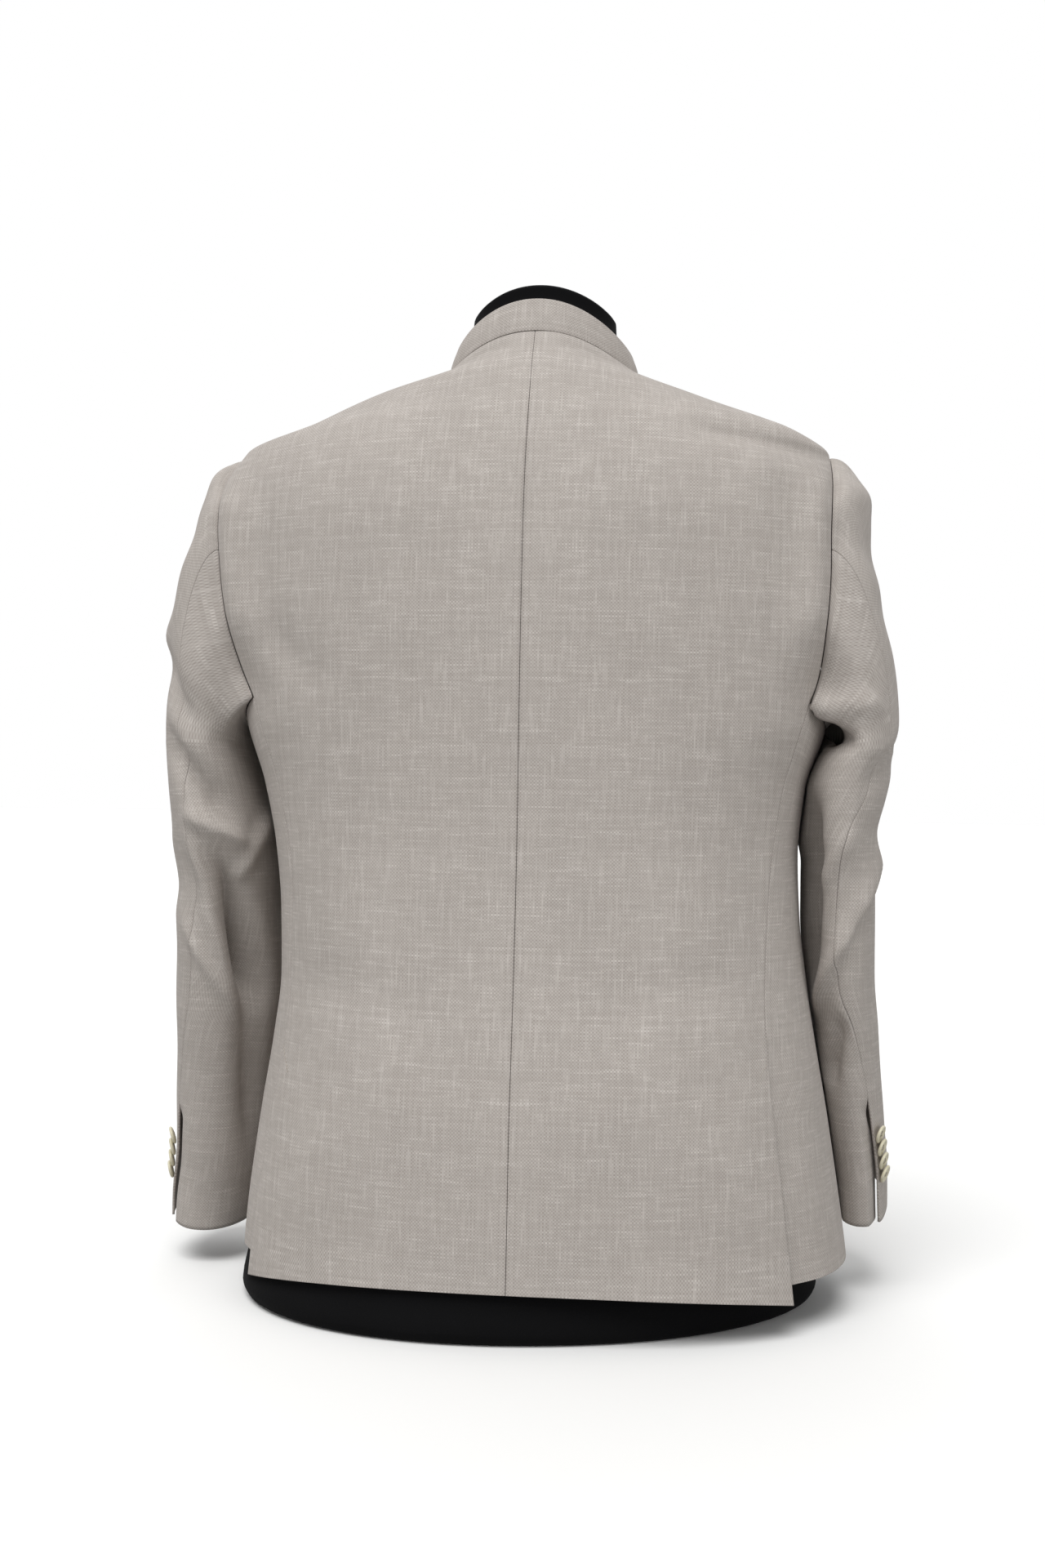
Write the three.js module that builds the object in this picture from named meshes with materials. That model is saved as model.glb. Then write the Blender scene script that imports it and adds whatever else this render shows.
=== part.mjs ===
import * as THREE from 'three';

// Stand collar blazer on a limbless dress form.
// Millimetres, +Z up. The origin is the middle of the form's flat underside, the coat's front
// faces -Y and the wearer's left is +X. The coat is cut as two backs, two side bodies, two fronts,
// a one-piece stand collar and two-piece sleeves, each a thin wall a seam's width from the next.

const WALL = 1.8;               // cloth with its fusing
const SEAM = 0.3;               // gap between two pieces at a seam
const UNDERLAP = 2.6;           // how far an under layer lies inside the layer above it
const FRONT_LAP = 18;           // left front past the centre line
const COLLAR_GAP = 4;           // between the collar's two ends
const FRONT_SEAM = 118;         // degrees round from the centre back, front to side body
const FORM_EASE = 0.6;          // coat's inside to the form where the shoulders carry it
const FORM_SHOULDER = 211;      // half width of the form's shoulders
const FORM_TURN = 8;            // degrees that the form's hips stand turned inside the coat
const FORM_BASE = { z: 10, turn: 12.5, power: 2.1 }; // the form below the hem, turned a little more
const SLEEVE_FRONT_SEAM = -125; // degrees round the sleeve, 0 outward, 90 to the back
const BICEPS = 430;             // height where the sleeve's cap ends and the tube begins
const VENT_TOP = 190;           // top of the vents in the coat's sides
const CUFF_VENT = 78;           // length of the opening at the cuff
const CUFF_EXTENSION = 7;       // under sleeve's reach beneath the top sleeve there
const CUFF_OPEN = 1.2;          // how far the top sleeve's edge stands off it
const BUTTON = { cuff: 15, front: 20, thick: 2.8 };
const CUFF_BUTTONS = { count: 4, pitch: 10, first: 38, inset: 8 };
const FRONT_BUTTONS = [632, 552, 472, 392, 312];
const QUARTER = 8;              // columns in a quarter turn of the body

const CLOTH = new THREE.MeshStandardMaterial({ color: '#b8b0a6', roughness: 0.9, metalness: 0 });
const JERSEY = new THREE.MeshStandardMaterial({ color: '#0e0e0f', roughness: 0.85, metalness: 0 });
const POLYESTER = new THREE.MeshStandardMaterial({ color: '#ddd7bd', roughness: 0.3, metalness: 0 });

// Outside of the coat's body: half widths and depths from the axis at a height on its side, the
// rise of the same line at the centre back and front, and the power of its rounded outline.
const COAT = [
  { z: 14, left: 230, right: 252, back: 173.5, front: 170, backRise: 0, frontRise: 0, power: 2.3 },
  { z: 60, left: 227, right: 246, back: 170.5, front: 168, backRise: 0, frontRise: 0, power: 2.3 },
  { z: 100, left: 222, right: 240, back: 169, front: 166, backRise: 0, frontRise: 0, power: 2.35 },
  { z: 150, left: 215, right: 232, back: 167, front: 163, backRise: 0, frontRise: 0, power: 2.35 },
  { z: 200, left: 207, right: 223, back: 160, front: 160, backRise: 0, frontRise: 0, power: 2.4 },
  { z: 250, left: 202, right: 215, back: 152.5, front: 156, backRise: 0, frontRise: 0, power: 2.4 },
  { z: 300, left: 203, right: 209, back: 147, front: 153, backRise: 0, frontRise: 0, power: 2.45 },
  { z: 350, left: 208, right: 207, back: 143.5, front: 151, backRise: 0, frontRise: 0, power: 2.45 },
  { z: 400, left: 218, right: 212, back: 142, front: 151, backRise: 0, frontRise: 0, power: 2.5 },
  { z: 450, left: 234, right: 227, back: 142, front: 151, backRise: 0, frontRise: 0, power: 2.5 },
  { z: 510, left: 242, right: 230, back: 141, front: 147, backRise: 0, frontRise: 0, power: 2.55 },
  { z: 560, left: 249, right: 231, back: 138, front: 140, backRise: 0, frontRise: 0, power: 2.6 },
  { z: 600, left: 252, right: 230, back: 134, front: 130, backRise: 1, frontRise: -5, power: 2.6 },
  { z: 632, left: 252, right: 230, back: 127, front: 120, backRise: 4, frontRise: -14, power: 2.45 },
  { z: 662, left: 241, right: 227, back: 114.5, front: 107, backRise: 9, frontRise: -28, power: 2.2 },
  { z: 681, left: 199, right: 196, back: 104, front: 98, backRise: 14, frontRise: -34, power: 1.9 },
  { z: 697, left: 163, right: 153, back: 94, front: 91, backRise: 19, frontRise: -39, power: 1.7 },
  { z: 710, left: 101, right: 105, back: 83, front: 85, backRise: 23, frontRise: -42, power: 1.7 },
  { z: 720, left: 77, right: 77, back: 74, front: 79, backRise: 27, frontRise: -44, power: 2.05 },
];

// Dress form below its shoulders, and its neck above the coat's neck seam.
const FORM = [
  { z: 0, half: 220, back: 161, front: 153 },
  { z: 3, half: 226, back: 166, front: 160 },
  { z: 10, half: 229, back: 168.5, front: 163 },
  { z: 24, half: 227, back: 166.5, front: 161 },
  { z: 60, half: 217, back: 159, front: 157 },
  { z: 105, half: 212, back: 155, front: 156 },
  { z: 150, half: 205, back: 150, front: 152 },
  { z: 200, half: 198, back: 146, front: 149 },
  { z: 250, half: 194, back: 142, front: 147 },
  { z: 300, half: 194, back: 139, front: 146 },
  { z: 350, half: 197, back: 137, front: 145 },
  { z: 400, half: 202, back: 136, front: 145 },
  { z: 450, half: 206, back: 135.5, front: 145 },
  { z: 510, half: 209, back: 134.5, front: 141 },
  { z: 560, half: 211, back: 131, front: 134 },
  { z: 600, half: 211, back: 127, front: 124 },
  { z: 630, half: 211, back: 120.5, front: 114 },
];
const FORM_NECK = [
  { z: 732, half: 67, back: 64, front: 69, backRise: 24, frontRise: -43 },
  { z: 748, half: 61, back: 57, front: 61, backRise: 21, frontRise: -38 },
  { z: 762, half: 57.5, back: 53, front: 55, backRise: 18, frontRise: -26 },
  { z: 770, half: 57, back: 52.5, front: 53, backRise: 16.5, frontRise: -17 },
  { z: 773, half: 54.5, back: 50, front: 50, backRise: 15.5, frontRise: -16 },
];

// Seam between the back and the side body, as a half width at a height.
const BACK_SEAM = [
  { z: 14, left: 213, right: 206 }, { z: 110, left: 197, right: 194 },
  { z: 180, left: 187, right: 186 }, { z: 250, left: 180, right: 181 },
  { z: 320, left: 180, right: 183 }, { z: 390, left: 191, right: 191 },
  { z: 465, left: 215, right: 212 },
];

// Armhole, as degrees round the body from the centre back, behind and in front of the shoulder tip.
const ARMHOLE = [
  { z: 465, back: 62.5, front: 118 }, { z: 490, back: 69, front: 113 },
  { z: 515, back: 73, front: 110.5 }, { z: 545, back: 75.5, front: 108 },
  { z: 580, back: 77, front: 105.5 }, { z: 610, back: 78.5, front: 103 },
  { z: 632, back: 81, front: 100 }, { z: 650, back: 84.5, front: 96 },
  { z: 662, back: 90, front: 90 },
];
const UNDERARM_DIP = 18;        // how far the armhole's lowest point lies under its corners
const ARMHOLE_LIFT = 28;        // back's armhole edge behind the rounded outline
const BODY_LEVELS = [58, 100, 145, VENT_TOP, 235, 280, 325, 370, 415, 443];
const SHOULDER_LEVELS = [672, 681, 690, 699, 707, 714, 720];

// Sleeves: outermost and innermost X, middle of the depth, half depth and back seam's angle.
const SLEEVES = {
  left: [
    { z: 430, outer: 302, inner: 233, middle: -6, deep: 78, seam: 68 },
    { z: 400, outer: 301, inner: 226, middle: -9, deep: 75, seam: 72 },
    { z: 356, outer: 301, inner: 217, middle: -14, deep: 72, seam: 74 },
    { z: 316, outer: 295, inner: 214, middle: -18, deep: 69, seam: 74 },
    { z: 289, outer: 299, inner: 214, middle: -21, deep: 68, seam: 73 },
    { z: 236, outer: 301, inner: 214, middle: -30, deep: 66, seam: 66 },
    { z: 155, outer: 305, inner: 224, middle: -47, deep: 62, seam: 48 },
    { z: 100, outer: 307, inner: 231, middle: -57, deep: 60, seam: 39 },
    { z: 60, outer: 311, inner: 237, middle: -63, deep: 58, seam: 33 },
    { z: 32, outer: 312, inner: 240, middle: -67, deep: 58, seam: 30 },
  ],
  right: [
    { z: 430, outer: 284, inner: 227, middle: -6, deep: 80, seam: 45 },
    { z: 392, outer: 275, inner: 212, middle: -10, deep: 78, seam: 70 },
    { z: 367, outer: 269, inner: 209, middle: -13, deep: 77, seam: 85 },
    { z: 341, outer: 268, inner: 211, middle: -16, deep: 75, seam: 95 },
    { z: 302, outer: 269, inner: 211, middle: -20, deep: 73, seam: 100 },
    { z: 251, outer: 270, inner: 215, middle: -28, deep: 70, seam: 98 },
    { z: 212, outer: 274, inner: 219, middle: -36, deep: 68, seam: 80 },
    { z: 174, outer: 277, inner: 224, middle: -44, deep: 65, seam: 66 },
    { z: 135, outer: 281, inner: 230, middle: -51, deep: 62, seam: 60 },
    { z: 97, outer: 285, inner: 236, middle: -58, deep: 60, seam: 57 },
    { z: 54, outer: 286, inner: 239, middle: -66, deep: 58, seam: 55 },
  ],
};
const SLEEVE_LEVELS = {
  left: [405, 380, 356, 334, 312, 290, 266, 240, 210, 182, 156, 136, 118, 92, 66, 40],
  right: [405, 380, 356, 334, 312, 290, 266, 240, 214, 191, 171, 157, 145, 119, 93, 67],
};
const CUFF_TILT = 0.2;          // rise of the cuff's edge to the front, for each mm of depth
const CAP_STEPS = [0, 0.04, 0.1, 0.19, 0.3, 0.44, 0.58, 0.72, 0.86, 1];

// Large folds of the sleeves: a ridge (positive) or trough from one angle and height to another.
const SLEEVE_FOLDS = {
  left: [
    { a0: -60, z0: 648, a1: 50, z1: 644, wide: 14, high: 6 },
    { a0: -60, z0: 592, a1: 50, z1: 592, wide: 20, high: -4 },
    { a0: -40, z0: 518, a1: 40, z1: 513, wide: 20, high: 7 },
    { a0: 0, z0: 498, a1: 100, z1: 437, wide: 13, high: -4 },
    { a0: 45, z0: 436, a1: 124, z1: 374, wide: 12, high: -8 },
    { a0: 74, z0: 376, a1: 135, z1: 348, wide: 10, high: 6 },
    { a0: 92, z0: 325, a1: 142, z1: 368, wide: 9, high: 6 },
    { a0: 100, z0: 340, a1: 142, z1: 222, wide: 15, high: -12 },
    { a0: 72, z0: 362, a1: 118, z1: 216, wide: 9, high: 5 },
    { a0: -30, z0: 310, a1: 25, z1: 306, wide: 10, high: -4 },
    { a0: -120, z0: 372, a1: -55, z1: 330, wide: 14, high: -5 },
    { a0: -110, z0: 330, a1: -60, z1: 292, wide: 13, high: 4 },
  ],
  right: [
    { a0: -50, z0: 632, a1: 42, z1: 626, wide: 12, high: 4 },
    { a0: -70, z0: 588, a1: 42, z1: 582, wide: 24, high: -7 },
    { a0: -60, z0: 542, a1: 42, z1: 538, wide: 24, high: -4 },
    { a0: -5, z0: 434, a1: 75, z1: 408, wide: 12, high: -5 },
    { a0: 75, z0: 368, a1: 128, z1: 326, wide: 10, high: 4 },
    { a0: 22, z0: 358, a1: 75, z1: 302, wide: 9, high: 6 },
    { a0: 75, z0: 302, a1: 150, z1: 236, wide: 10, high: 7 },
    { a0: 15, z0: 338, a1: 70, z1: 280, wide: 9, high: -5 },
    { a0: 70, z0: 276, a1: 130, z1: 222, wide: 10, high: -5 },
    { a0: -120, z0: 360, a1: -55, z1: 326, wide: 14, high: -5 },
    { a0: -110, z0: 318, a1: -60, z1: 288, wide: 13, high: 4 },
  ],
};
const SLEEVE_ARC = 0.95;        // mm round the sleeve for each degree

// Large folds of the backs, from one distance off the centre and height to another.
const BACK_FOLDS = {
  left: [
    { x0: 150, z0: 470, x1: 205, z1: 520, wide: 16, high: -2.5 },
    { x0: 60, z0: 236, x1: 165, z1: 250, wide: 22, high: -2 },
  ],
  right: [
    { x0: 120, z0: 668, x1: 232, z1: 655, wide: 8, high: -4 },
    { x0: 165, z0: 640, x1: 232, z1: 628, wide: 13, high: 2.5 },
    { x0: 60, z0: 240, x1: 160, z1: 262, wide: 22, high: -2 },
  ],
};

const SIDES = ['left', 'right'];
const SIGN = { left: 1, right: -1 };
const group = new THREE.Group();

// Smooth value of a table's column at a height, with no overshoot between its rows.
function track(table, column, z) {
  const last = table.length - 1;
  const up = table[last].z > table[0].z ? 1 : -1;
  let i = 0;
  while (i < last - 1 && (z - table[i + 1].z) * up > 0) i += 1;
  const rise = (k) => (table[k + 1][column] - table[k][column]) / (table[k + 1].z - table[k].z);
  const slope = (k) => {
    if (k === 0 || k === last) return rise(k === 0 ? 0 : last - 1);
    const before = rise(k - 1);
    const after = rise(k);
    return before * after <= 0 ? 0 : (2 * before * after) / (before + after);
  };
  const span = table[i + 1].z - table[i].z;
  const u = Math.min(1, Math.max(0, (z - table[i].z) / span));
  const a = table[i][column];
  const b = table[i + 1][column];
  return a * (1 + 2 * u) * (1 - u) ** 2 + b * u * u * (3 - 2 * u)
    + slope(i) * span * u * (1 - u) ** 2 - slope(i + 1) * span * u * u * (1 - u);
}

const radians = THREE.MathUtils.degToRad;
const lerp = THREE.MathUtils.lerp;
const smooth = (u) => { const t = Math.min(1, Math.max(0, u)); return t * t * (3 - 2 * t); };

// Point of a rounded outline, angle in degrees from the centre back round to the front.
function outline(side, angle, ring) {
  const s = Math.sin(radians(angle));
  const c = Math.cos(radians(angle));
  const half = s >= 0 ? ring[side] : ring[side === 'left' ? 'right' : 'left'];
  const x = half * Math.sign(s) * Math.abs(s) ** (2 / ring.power) * SIGN[side];
  const depth = c >= 0 ? ring.back : ring.front;
  const y = depth * Math.sign(c) * Math.abs(c) ** (2 / ring.power);
  const rise = c >= 0 ? ring.backRise : ring.frontRise;
  return new THREE.Vector3(x, y, ring.z + rise * c * c);
}

// Strength of a fold at a point: full along the fold's line, fading to its sides and ends.
function foldAt(u, v, fold) {
  const along = new THREE.Vector2(fold.u1 - fold.u0, fold.v1 - fold.v0);
  const span = along.length();
  along.normalize();
  const off = new THREE.Vector2(u - fold.u0, v - fold.v0);
  const t = off.dot(along) / span;
  const aside = off.cross(along);
  const end = t < 0.5 ? smooth((t + 0.15) / 0.4) : smooth((1.15 - t) / 0.4);
  return fold.high * Math.exp(-((aside / fold.wide) ** 2)) * end;
}

function coatRing(z) {
  const ring = { z };
  for (const column of ['left', 'right', 'back', 'front', 'backRise', 'frontRise', 'power']) {
    ring[column] = track(COAT, column, z);
  }
  return ring;
}

// Outside of the coat and its direction outwards, at an angle and a height.
function coatPoint(side, angle, z) {
  return outline(side, angle, coatRing(z));
}
function outward(surface, angle, z, side) {
  const step = { angle: 0.6, z: 1.5 };
  const around = surface(angle + step.angle, z).sub(surface(angle - step.angle, z));
  const up = surface(angle, z + step.z).sub(surface(angle, z - step.z));
  const n = around.cross(up).normalize();
  return side === 'left' ? n.negate() : n;
}

// Wall between a grid of outside points and the same points moved in along their normals.
function wallMesh(name, grid, normals, material) {
  const rows = grid.length;
  const columns = grid[0].length;
  const outside = grid.flat();
  const inside = grid.map((row, r) => row.map((p, c) => p.clone().addScaledVector(normals[r][c], -WALL)));
  const points = outside.concat(inside.flat());
  const at = (r, c) => r * columns + c;
  const shift = rows * columns;
  const faces = [];
  const quad = (a, b, c, d) => faces.push([a, b, c], [a, c, d]);
  for (let r = 0; r < rows - 1; r += 1) {
    for (let c = 0; c < columns - 1; c += 1) {
      const cell = [at(r, c), at(r, c + 1), at(r + 1, c + 1), at(r + 1, c)];
      quad(...cell);
      quad(...cell.map((i) => i + shift).reverse().map((_, k, all) => all[(k + 3) % 4]));
    }
  }
  const strip = (a, b, forward) => {
    if (forward) faces.push([a, b + shift, b], [a, a + shift, b + shift]);
    else faces.push([a, b, b + shift], [a, b + shift, a + shift]);
  };
  for (let c = 0; c < columns - 1; c += 1) {
    strip(at(0, c), at(0, c + 1), true);
    strip(at(rows - 1, c), at(rows - 1, c + 1), false);
  }
  for (let r = 0; r < rows - 1; r += 1) {
    strip(at(r, 0), at(r + 1, 0), false);
    strip(at(r, columns - 1), at(r + 1, columns - 1), true);
  }
  addSolid(name, points, faces, material);
}

function addSolid(name, points, faces, material) {
  let volume = 0;
  for (const [a, b, c] of faces) {
    volume += points[a].dot(points[b].clone().cross(points[c]));
  }
  const index = faces.flatMap(([a, b, c]) => (volume > 0 ? [a, b, c] : [a, c, b]));
  const geometry = new THREE.BufferGeometry();
  geometry.setAttribute('position', new THREE.Float32BufferAttribute(points.flatMap((p) => p.toArray()), 3));
  geometry.setIndex(index);
  geometry.computeVertexNormals();
  const mesh = new THREE.Mesh(geometry, material);
  mesh.name = name;
  group.add(mesh);
}

// Edges that meet another piece are drawn back by half a seam's gap.
function drawBack(grid, edges) {
  const last = { r: grid.length - 1, c: grid[0].length - 1 };
  const pull = (p, towards) => p.add(towards.clone().sub(p).setLength(SEAM / 2));
  for (const row of grid) {
    if (edges.includes('start')) pull(row[0], row[1]);
    if (edges.includes('end')) pull(row[last.c], row[last.c - 1]);
  }
  if (edges.includes('top')) grid[last.r].forEach((p, c) => pull(p, grid[last.r - 1][c]));
}

// Grid of points over a panel: its angles run from one edge to the other at each level.
function panel(name, side, levels, columns, edgeAngles, options) {
  const grid = [];
  const normals = [];
  levels.forEach((level, r) => {
    const [from, to] = edgeAngles(level);
    grid.push([]);
    normals.push([]);
    for (let c = 0; c <= columns; c += 1) {
      const past = options.lap && c === columns;
      const angle = past ? options.lap(level) : lerp(from, to, c / (columns - (options.lap ? 1 : 0)));
      const z = options.level ? options.level(level, r, c / columns, angle) : level;
      const surface = (a, h) => coatPoint(side, a, h);
      const n = outward(surface, angle, z, side);
      const p = coatPoint(side, angle, z);
      const move = options.move ? options.move(p, angle, z, c / columns) : 0;
      if (options.lift) p.y += options.lift(c / columns, z);
      grid[r].push(p.addScaledVector(n, move));
      normals[r].push(n);
    }
  });
  drawBack(grid, options.seams);
  wallMesh(name, grid, normals, CLOTH);
}

// Angle of the back and side seam, from its half width at a height.
function backSeam(side, z) {
  const ring = coatRing(z);
  const across = track(BACK_SEAM, side, z) / ring[side];
  return THREE.MathUtils.radToDeg(Math.asin(across ** (ring.power / 2)));
}
function armhole(side, edge, z) {
  const corner = { back: backSeam(side, ARMHOLE[0].z) - ARMHOLE[0].back, front: 0 };
  const fade = 1 - smooth((z - ARMHOLE[0].z) / 60);
  return track(ARMHOLE, edge, z) + corner[edge] * fade;
}
const bodyCorner = ARMHOLE[0].z;
const shoulderTip = ARMHOLE[ARMHOLE.length - 1].z;
const armholeLevels = ARMHOLE.map((row) => row.z);

// How far the back stands out behind the arm, where it runs on flat into the sleeve.
const LIFTED = { low: bodyCorner, full: 535, fall: 610, high: shoulderTip, from: 0.62 };
function armholeLift(u, z) {
  const rise = smooth((z - LIFTED.low) / (LIFTED.full - LIFTED.low));
  const fall = 1 - smooth((z - LIFTED.fall) / (LIFTED.high - LIFTED.fall));
  return ARMHOLE_LIFT * rise * fall * smooth((u - LIFTED.from) / (1 - LIFTED.from));
}

// Below the vent's top the side body first sinks under the back, then reaches on beneath it.
const sunk = (z) => 1 - smooth((z - VENT_TOP) / 40);
const vented = (z) => 1 - smooth((z - (VENT_TOP - 40)) / 40);

function backPanel(side) {
  const hem = { centre: 38, corner: side === 'left' ? 20 : 24 };
  const folds = BACK_FOLDS[side].map((f) => (
    { u0: f.x0, v0: f.z0, u1: f.x1, v1: f.z1, wide: f.wide, high: f.high }));
  const levels = [hem.centre, ...BODY_LEVELS, ...armholeLevels, ...SHOULDER_LEVELS];
  panel(`back_${side}`, side, levels, QUARTER, (z) => {
    if (z <= bodyCorner) return [0, backSeam(side, z)];
    return [0, z < shoulderTip ? armhole(side, 'back', z) : 90];
  }, {
    seams: ['start', 'end'],
    lift: armholeLift,
    level: (level, r, u) => (r === 0 ? lerp(hem.centre, hem.corner, u ** 2) : level),
    move: (p, angle, z, u) => {
      const flare = 1.2 * vented(z) * smooth((u - 0.5) / 0.5);
      const inland = smooth((1 - u) * QUARTER);
      return flare + folds.reduce((sum, f) => sum + foldAt(Math.abs(p.x), p.z, f), 0) * inland;
    },
  });
}

function sidePanel(side) {
  const hem = side === 'left' ? 36 : 38;
  const levels = [hem, ...BODY_LEVELS, bodyCorner];
  const columns = 5;
  panel(`side_${side}`, side, levels, columns, (z) => {
    const tuck = 7 * vented(z);
    return [backSeam(side, z) - tuck, FRONT_SEAM];
  }, {
    seams: ['start', 'end'],
    level: (level, r, u) => {
      const dip = UNDERARM_DIP * Math.sin(Math.PI * u) ** 1.2;
      const near = smooth((level - 370) / (bodyCorner - 370));
      return level - dip * near;
    },
    move: (p, angle, z) => {
      const past = smooth((backSeam(side, z) + 12 - angle) / 10);
      return -UNDERLAP * sunk(z) * past;
    },
  });
}

function frontPanel(side) {
  const under = side === 'right';
  const levels = [30, ...BODY_LEVELS, ...armholeLevels, ...SHOULDER_LEVELS];
  const lapAngle = (z) => {
    const ring = coatRing(z);
    const other = side === 'left' ? 'right' : 'left';
    return THREE.MathUtils.radToDeg(Math.asin((FRONT_LAP / ring[other]) ** (ring.power / 2)));
  };
  panel(`front_${side}`, side, levels, QUARTER + 1, (z) => {
    if (z <= bodyCorner) return [FRONT_SEAM, 180];
    return [z < shoulderTip ? armhole(side, 'front', z) : 90, 180];
  }, {
    seams: ['start'],
    lap: (z) => 180 + lapAngle(z),
    move: (p, angle) => {
      const inner = smooth((FRONT_LAP + 72 + p.x) / 46) * smooth((angle - 135) / 20);
      return under ? -UNDERLAP * inner : 0;
    },
  });
}

function collar() {
  const half = QUARTER * 2;
  const edge = { z: 744, left: 70, right: 70, back: 66, front: 76, backRise: 30, frontRise: -42, power: 2.05 };
  const seam = coatRing(COAT[COAT.length - 1].z);
  seam.z += SEAM;
  const end = 180 - THREE.MathUtils.radToDeg(Math.asin(COLLAR_GAP / 2 / edge.left));
  const rows = 4;
  const grid = [];
  for (let r = 0; r <= rows; r += 1) {
    grid.push([]);
    for (let c = -half; c <= half; c += 1) {
      const angle = Math.min(Math.abs(c) * (90 / QUARTER), end);
      const side = c < 0 ? 'left' : 'right';
      const low = outline(side, angle, seam);
      const high = outline(side, angle, edge);
      const u = r / rows;
      const belly = 1.2 * Math.sin(Math.PI * u);
      const p = low.lerp(high, u);
      grid[r].push(p.add(new THREE.Vector3(p.x, p.y, 0).setLength(belly)));
    }
  }
  const normals = grid.map((row) => row.map((p, c) => {
    const around = row[Math.min(c + 1, 2 * half)].clone().sub(row[Math.max(c - 1, 0)]);
    const lean = grid[rows][c].clone().sub(grid[0][c]);
    const n = around.cross(lean).normalize();
    return n.dot(new THREE.Vector3(p.x, p.y, 0)) > 0 ? n : n.negate();
  }));
  wallMesh('collar', grid, normals, CLOTH);
}

// The armhole as the sleeve meets it: from the back seam over the shoulder tip to the front seam,
// then under the arm and up to the back seam again.
const SLEEVE_SEAM_LEVEL = { back: 580, front: 515 };
const TOP_COLUMNS = 10;
const UNDER_COLUMNS = 11;
const SIDE_COLUMNS = 5;
function leaving(side, angle, z) {
  return outward((a, h) => coatPoint(side, a, h), angle, z, side);
}
function armholeLoop(side) {
  const up = armholeLevels.filter((z) => z >= SLEEVE_SEAM_LEVEL.back);
  const down = armholeLevels.filter((z) => z >= SLEEVE_SEAM_LEVEL.front && z < shoulderTip).reverse();
  const low = armholeLevels.filter((z) => z < SLEEVE_SEAM_LEVEL.front).reverse();
  const loop = [];
  const add = (edge, z) => {
    const angle = armhole(side, edge, z);
    const p = coatPoint(side, angle, z);
    if (edge === 'back') p.y += armholeLift(1, z);
    loop.push({ p, out: leaving(side, angle, z), z });
  };
  up.forEach((z) => add('back', z));
  down.forEach((z) => add('front', z));
  low.forEach((z) => add('front', z));
  for (let k = SIDE_COLUMNS - 1; k > 0; k -= 1) {
    const u = k / SIDE_COLUMNS;
    const angle = lerp(backSeam(side, bodyCorner), FRONT_SEAM, u);
    const z = bodyCorner - UNDERARM_DIP * Math.sin(Math.PI * u) ** 1.2;
    loop.push({ p: coatPoint(side, angle, z), out: leaving(side, angle, z), z });
  }
  armholeLevels.filter((z) => z < SLEEVE_SEAM_LEVEL.back).forEach((z) => add('back', z));
  return loop;
}

// Angle round the sleeve of each of the loop's columns, at a height.
function sleeveAngle(side, column, z) {
  const seam = track(SLEEVES[side], 'seam', z);
  if (column <= TOP_COLUMNS) return lerp(seam, SLEEVE_FRONT_SEAM, column / TOP_COLUMNS);
  return lerp(SLEEVE_FRONT_SEAM, seam - 360, (column - TOP_COLUMNS) / UNDER_COLUMNS);
}

// Outside of the sleeve's tube; what would cut into the coat's side is pushed clear of it.
function sleevePoint(side, angle, z) {
  const row = (column) => track(SLEEVES[side], column, z);
  const middle = (row('outer') + row('inner')) / 2;
  const half = (row('outer') - row('inner')) / 2;
  const c = Math.cos(radians(angle));
  const s = Math.sin(radians(angle));
  const round = 2 / 2.15;
  const y = row('middle') + row('deep') * Math.sign(s) * Math.abs(s) ** round;
  const cuff = track(SLEEVES[side], 'z', SLEEVE_LEVELS[side].at(-1));
  const tilt = -CUFF_TILT * (y - row('middle')) * smooth((200 - z) / (200 - cuff));
  const x = middle + half * Math.sign(c) * Math.abs(c) ** round;
  return clearOfCoat(side, new THREE.Vector3(x * SIGN[side], y, z + tilt), 1.6);
}
function clearOfCoat(side, p, gap) {
  const ring = coatRing(p.z);
  const depth = (p.y >= 0 ? ring.back : ring.front) + gap;
  const half = ring[side] + gap;
  const across = Math.abs(p.y) < depth ? half * (1 - (Math.abs(p.y) / depth) ** ring.power) ** (1 / ring.power) : 0;
  return new THREE.Vector3(Math.max(Math.abs(p.x), across) * SIGN[side], p.y, p.z);
}

// One column of the cap, a curve that leaves the armhole outwards and arrives hanging down.
function capPoint(side, start, end, u) {
  const reach = start.p.distanceTo(end);
  const high = smooth((start.z - bodyCorner) / (shoulderTip - bodyCorner));
  const leave = start.out.clone().setZ(-0.55).lerp(new THREE.Vector3(SIGN[side], 0, -0.2), high);
  leave.setLength(lerp(0.35, 0.46, high) * reach + 6);
  const arrive = new THREE.Vector3(0, 0, -1).multiplyScalar(1.2 * reach);
  const p = start.p.clone().addScaledVector(leave.clone().normalize(), SEAM * 1.5);
  const a = (1 + 2 * u) * (1 - u) ** 2;
  const b = u * u * (3 - 2 * u);
  const result = p.multiplyScalar(a).addScaledVector(end, b);
  result.addScaledVector(leave, u * (1 - u) ** 2).addScaledVector(arrive, -u * u * (1 - u));
  return result;
}

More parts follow.
